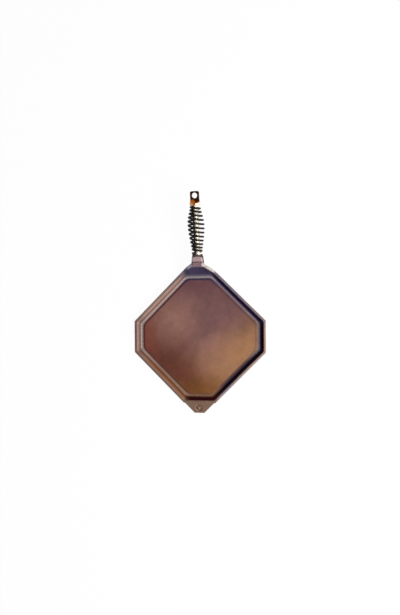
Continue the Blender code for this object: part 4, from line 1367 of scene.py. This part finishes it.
        # Each ring is painted by side: a dark film on the collar's shaded left, an orange one on the seat's left.
        for node, finish, film_and_shade, lit, size in (
                ("lower_collar", "collar_steel", linear(50, 38, 44), (-0.003, 0.004),
                 (self.collar_diameter, self.gap, self.collar_thickness, 1)),
                ("upper_seat", "seat_steel", linear(214, 150, 104), (0.001, 0.004),
                 (self.base_diameter, self.seat_start, self.seat_thickness, -1))):
            steel = TurnedSteel(finish, linear(244, 234, 220), film_and_shade, 0.5, lit, 0.3)
            settle(self.ring(node + "_dressed", *size, steel.material()), "collar_steel", node)
        settle(self.coil(), "coil_steel", "coil_grip")
        settle(self.lug(), "lug_bronze", "hanging_lug")
        steel = TurnedSteel("pin_steel", linear(140, 136, 130), linear(86, 78, 72), 0.45, (-0.02, -0.01))
        bright = steel.material()
        for name, *size in (
                ("rod_lock_pin", self.neck_pin, self.neck_pin_length, -self.neck_pin_setback),
                ("lug_lock_pin", self.lug_pin, self.base_diameter - 2 * self.pin_recess,
                 self.lug_start + self.lug_pin_offset)):
            mesh = grid_mesh(name, self.axis.cross_pin(*size))
            settle(place_item(name + "_dressed", mesh, bright), "pin_steel", name)


# The studio


@dataclass(frozen=True)
class Studio:
    """A white floor, a soft key light low on the right, and a pale room with a dark ceiling."""

    tilt_right: float = math.radians(9.44)
    tilt_foot: float = math.radians(-0.186)
    roll: float = math.radians(0.517)
    distance: float = 1.21446
    pixels_per_metre: float = 433.0
    target: Colour = (0.00083, 0.06654, 0.0)
    sensor: float = 36.0
    floor_size: float = 12.0
    key_azimuth: float = math.radians(-15.0)
    key_rise: float = math.radians(42.0)
    key_distance: float = 2.0
    key_width: float = 1.3
    key_height: float = 0.8
    key_power: float = 60.0
    lens_start: float = 0.02
    floor_drop: float = 0.0004
    floor_grey: float = 0.86
    floor_glow: float = 0.965
    horizon_height: float = 0.1
    horizon_light: float = 0.80
    ceiling_height: float = 0.6
    ceiling_light: float = 0.14

    def camera(self) -> None:
        """Places the camera over the griddle, a little to the right and turned a little."""
        a, b, r = self.tilt_right, self.tilt_foot, self.roll
        back = Vector((math.sin(a) * math.cos(b), -math.sin(b), math.cos(a) * math.cos(b)))
        level = Vector((math.cos(a), 0.0, -math.sin(a)))
        upright = back.cross(level)
        right = level * math.cos(r) - upright * math.sin(r)
        up = level * math.sin(r) + upright * math.cos(r)
        lens = bpy.data.cameras.new("camera")
        lens.sensor_width = self.sensor
        lens.lens = self.pixels_per_metre * self.distance * self.sensor / max(IMAGE_WIDTH, IMAGE_HEIGHT)
        lens.clip_start = self.lens_start
        item = place_item("camera", lens)
        matrix = Matrix((right, up, back)).transposed().to_4x4()
        matrix.translation = Vector(self.target) + back * self.distance
        item.matrix_world = matrix
        bpy.context.scene.camera = item

    def key(self) -> None:
        """Hangs the key light, a rectangular lamp that faces the griddle."""
        light = bpy.data.lights.new("key", "AREA")
        light.shape = "RECTANGLE"
        light.size, light.size_y = self.key_width, self.key_height
        light.energy = self.key_power
        item = place_item("key", light)
        azimuth, level = self.key_azimuth, math.cos(self.key_rise)
        away = Vector((level * math.cos(azimuth), level * math.sin(azimuth), math.sin(self.key_rise)))
        facing = away.to_track_quat("Z", "Y").to_matrix().to_4x4()
        item.matrix_world = Matrix.Translation(away * self.key_distance) @ facing

    def floor(self) -> None:
        """A pale floor that shows white, and keeps a faint shadow."""
        half, low = self.floor_size / 2, -self.floor_drop
        corners = [(-half, -half, low), (half, -half, low), (half, half, low), (-half, half, low)]
        mesh = bpy.data.meshes.new("floor")
        mesh.from_pydata(corners, [], [(0, 1, 2, 3)])
        graph = Graph("pale_floor")
        graph.finish({"Base Color": (self.floor_grey,) * 3, "Roughness": 0.9, "Specular IOR Level": 0.0})
        glow = graph.node("ShaderNodeEmission", {}, {"Color": (1.0, 1.0, 1.0), "Strength": 1.0})
        seen = graph.node("ShaderNodeLightPath")
        rays = seen.socket.node.outputs
        for kind in ("Is Glossy Ray", "Is Transmission Ray"):
            seen = seen.over(Value(graph, rays[kind]))
        pale = Value(graph, graph.shader.outputs[0])
        both = graph.node("ShaderNodeMixShader", {}, {0: seen * self.floor_glow, 1: pale, 2: glow})
        graph.put(graph.tree.nodes["Material Output"].inputs[0], both)
        place_item("floor", mesh, graph.material)

    def room(self) -> None:
        """A world that is pale at the horizon and dark overhead."""
        world = bpy.data.worlds.new("room")
        bpy.context.scene.world = world
        world.use_nodes = True
        nodes, links = world.node_tree.nodes, world.node_tree.links
        place = nodes.new("ShaderNodeTexCoord")
        split = nodes.new("ShaderNodeSeparateXYZ")
        ramp = nodes.new("ShaderNodeMapRange")
        ramp.interpolation_type = "SMOOTHSTEP"
        for name, value in (("From Min", self.horizon_height), ("From Max", self.ceiling_height),
                            ("To Min", self.horizon_light), ("To Max", self.ceiling_light)):
            ramp.inputs[name].default_value = value
        links.new(place.outputs["Generated"], split.inputs[0])
        links.new(split.outputs[2], ramp.inputs["Value"])
        links.new(ramp.outputs[0], nodes["Background"].inputs["Strength"])
        nodes["Background"].inputs["Color"].default_value = (1.0, 1.0, 1.0, 1.0)

    def build(self) -> None:
        """Sets up the camera, light, floor and room."""
        self.camera()
        self.key()
        self.floor()
        self.room()
        bpy.context.scene.view_settings.view_transform = "Standard"


def main() -> None:
    """Builds the studio and the griddle; each dressed piece logs its face count and the solids it stands for."""
    logging.basicConfig(level=logging.INFO, format="%(name)s: %(message)s")
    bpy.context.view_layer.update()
    Studio().build()
    casting = Casting()
    casting.build()
    Grip(casting.axis).build()


if __name__ == "__main__":
    main()
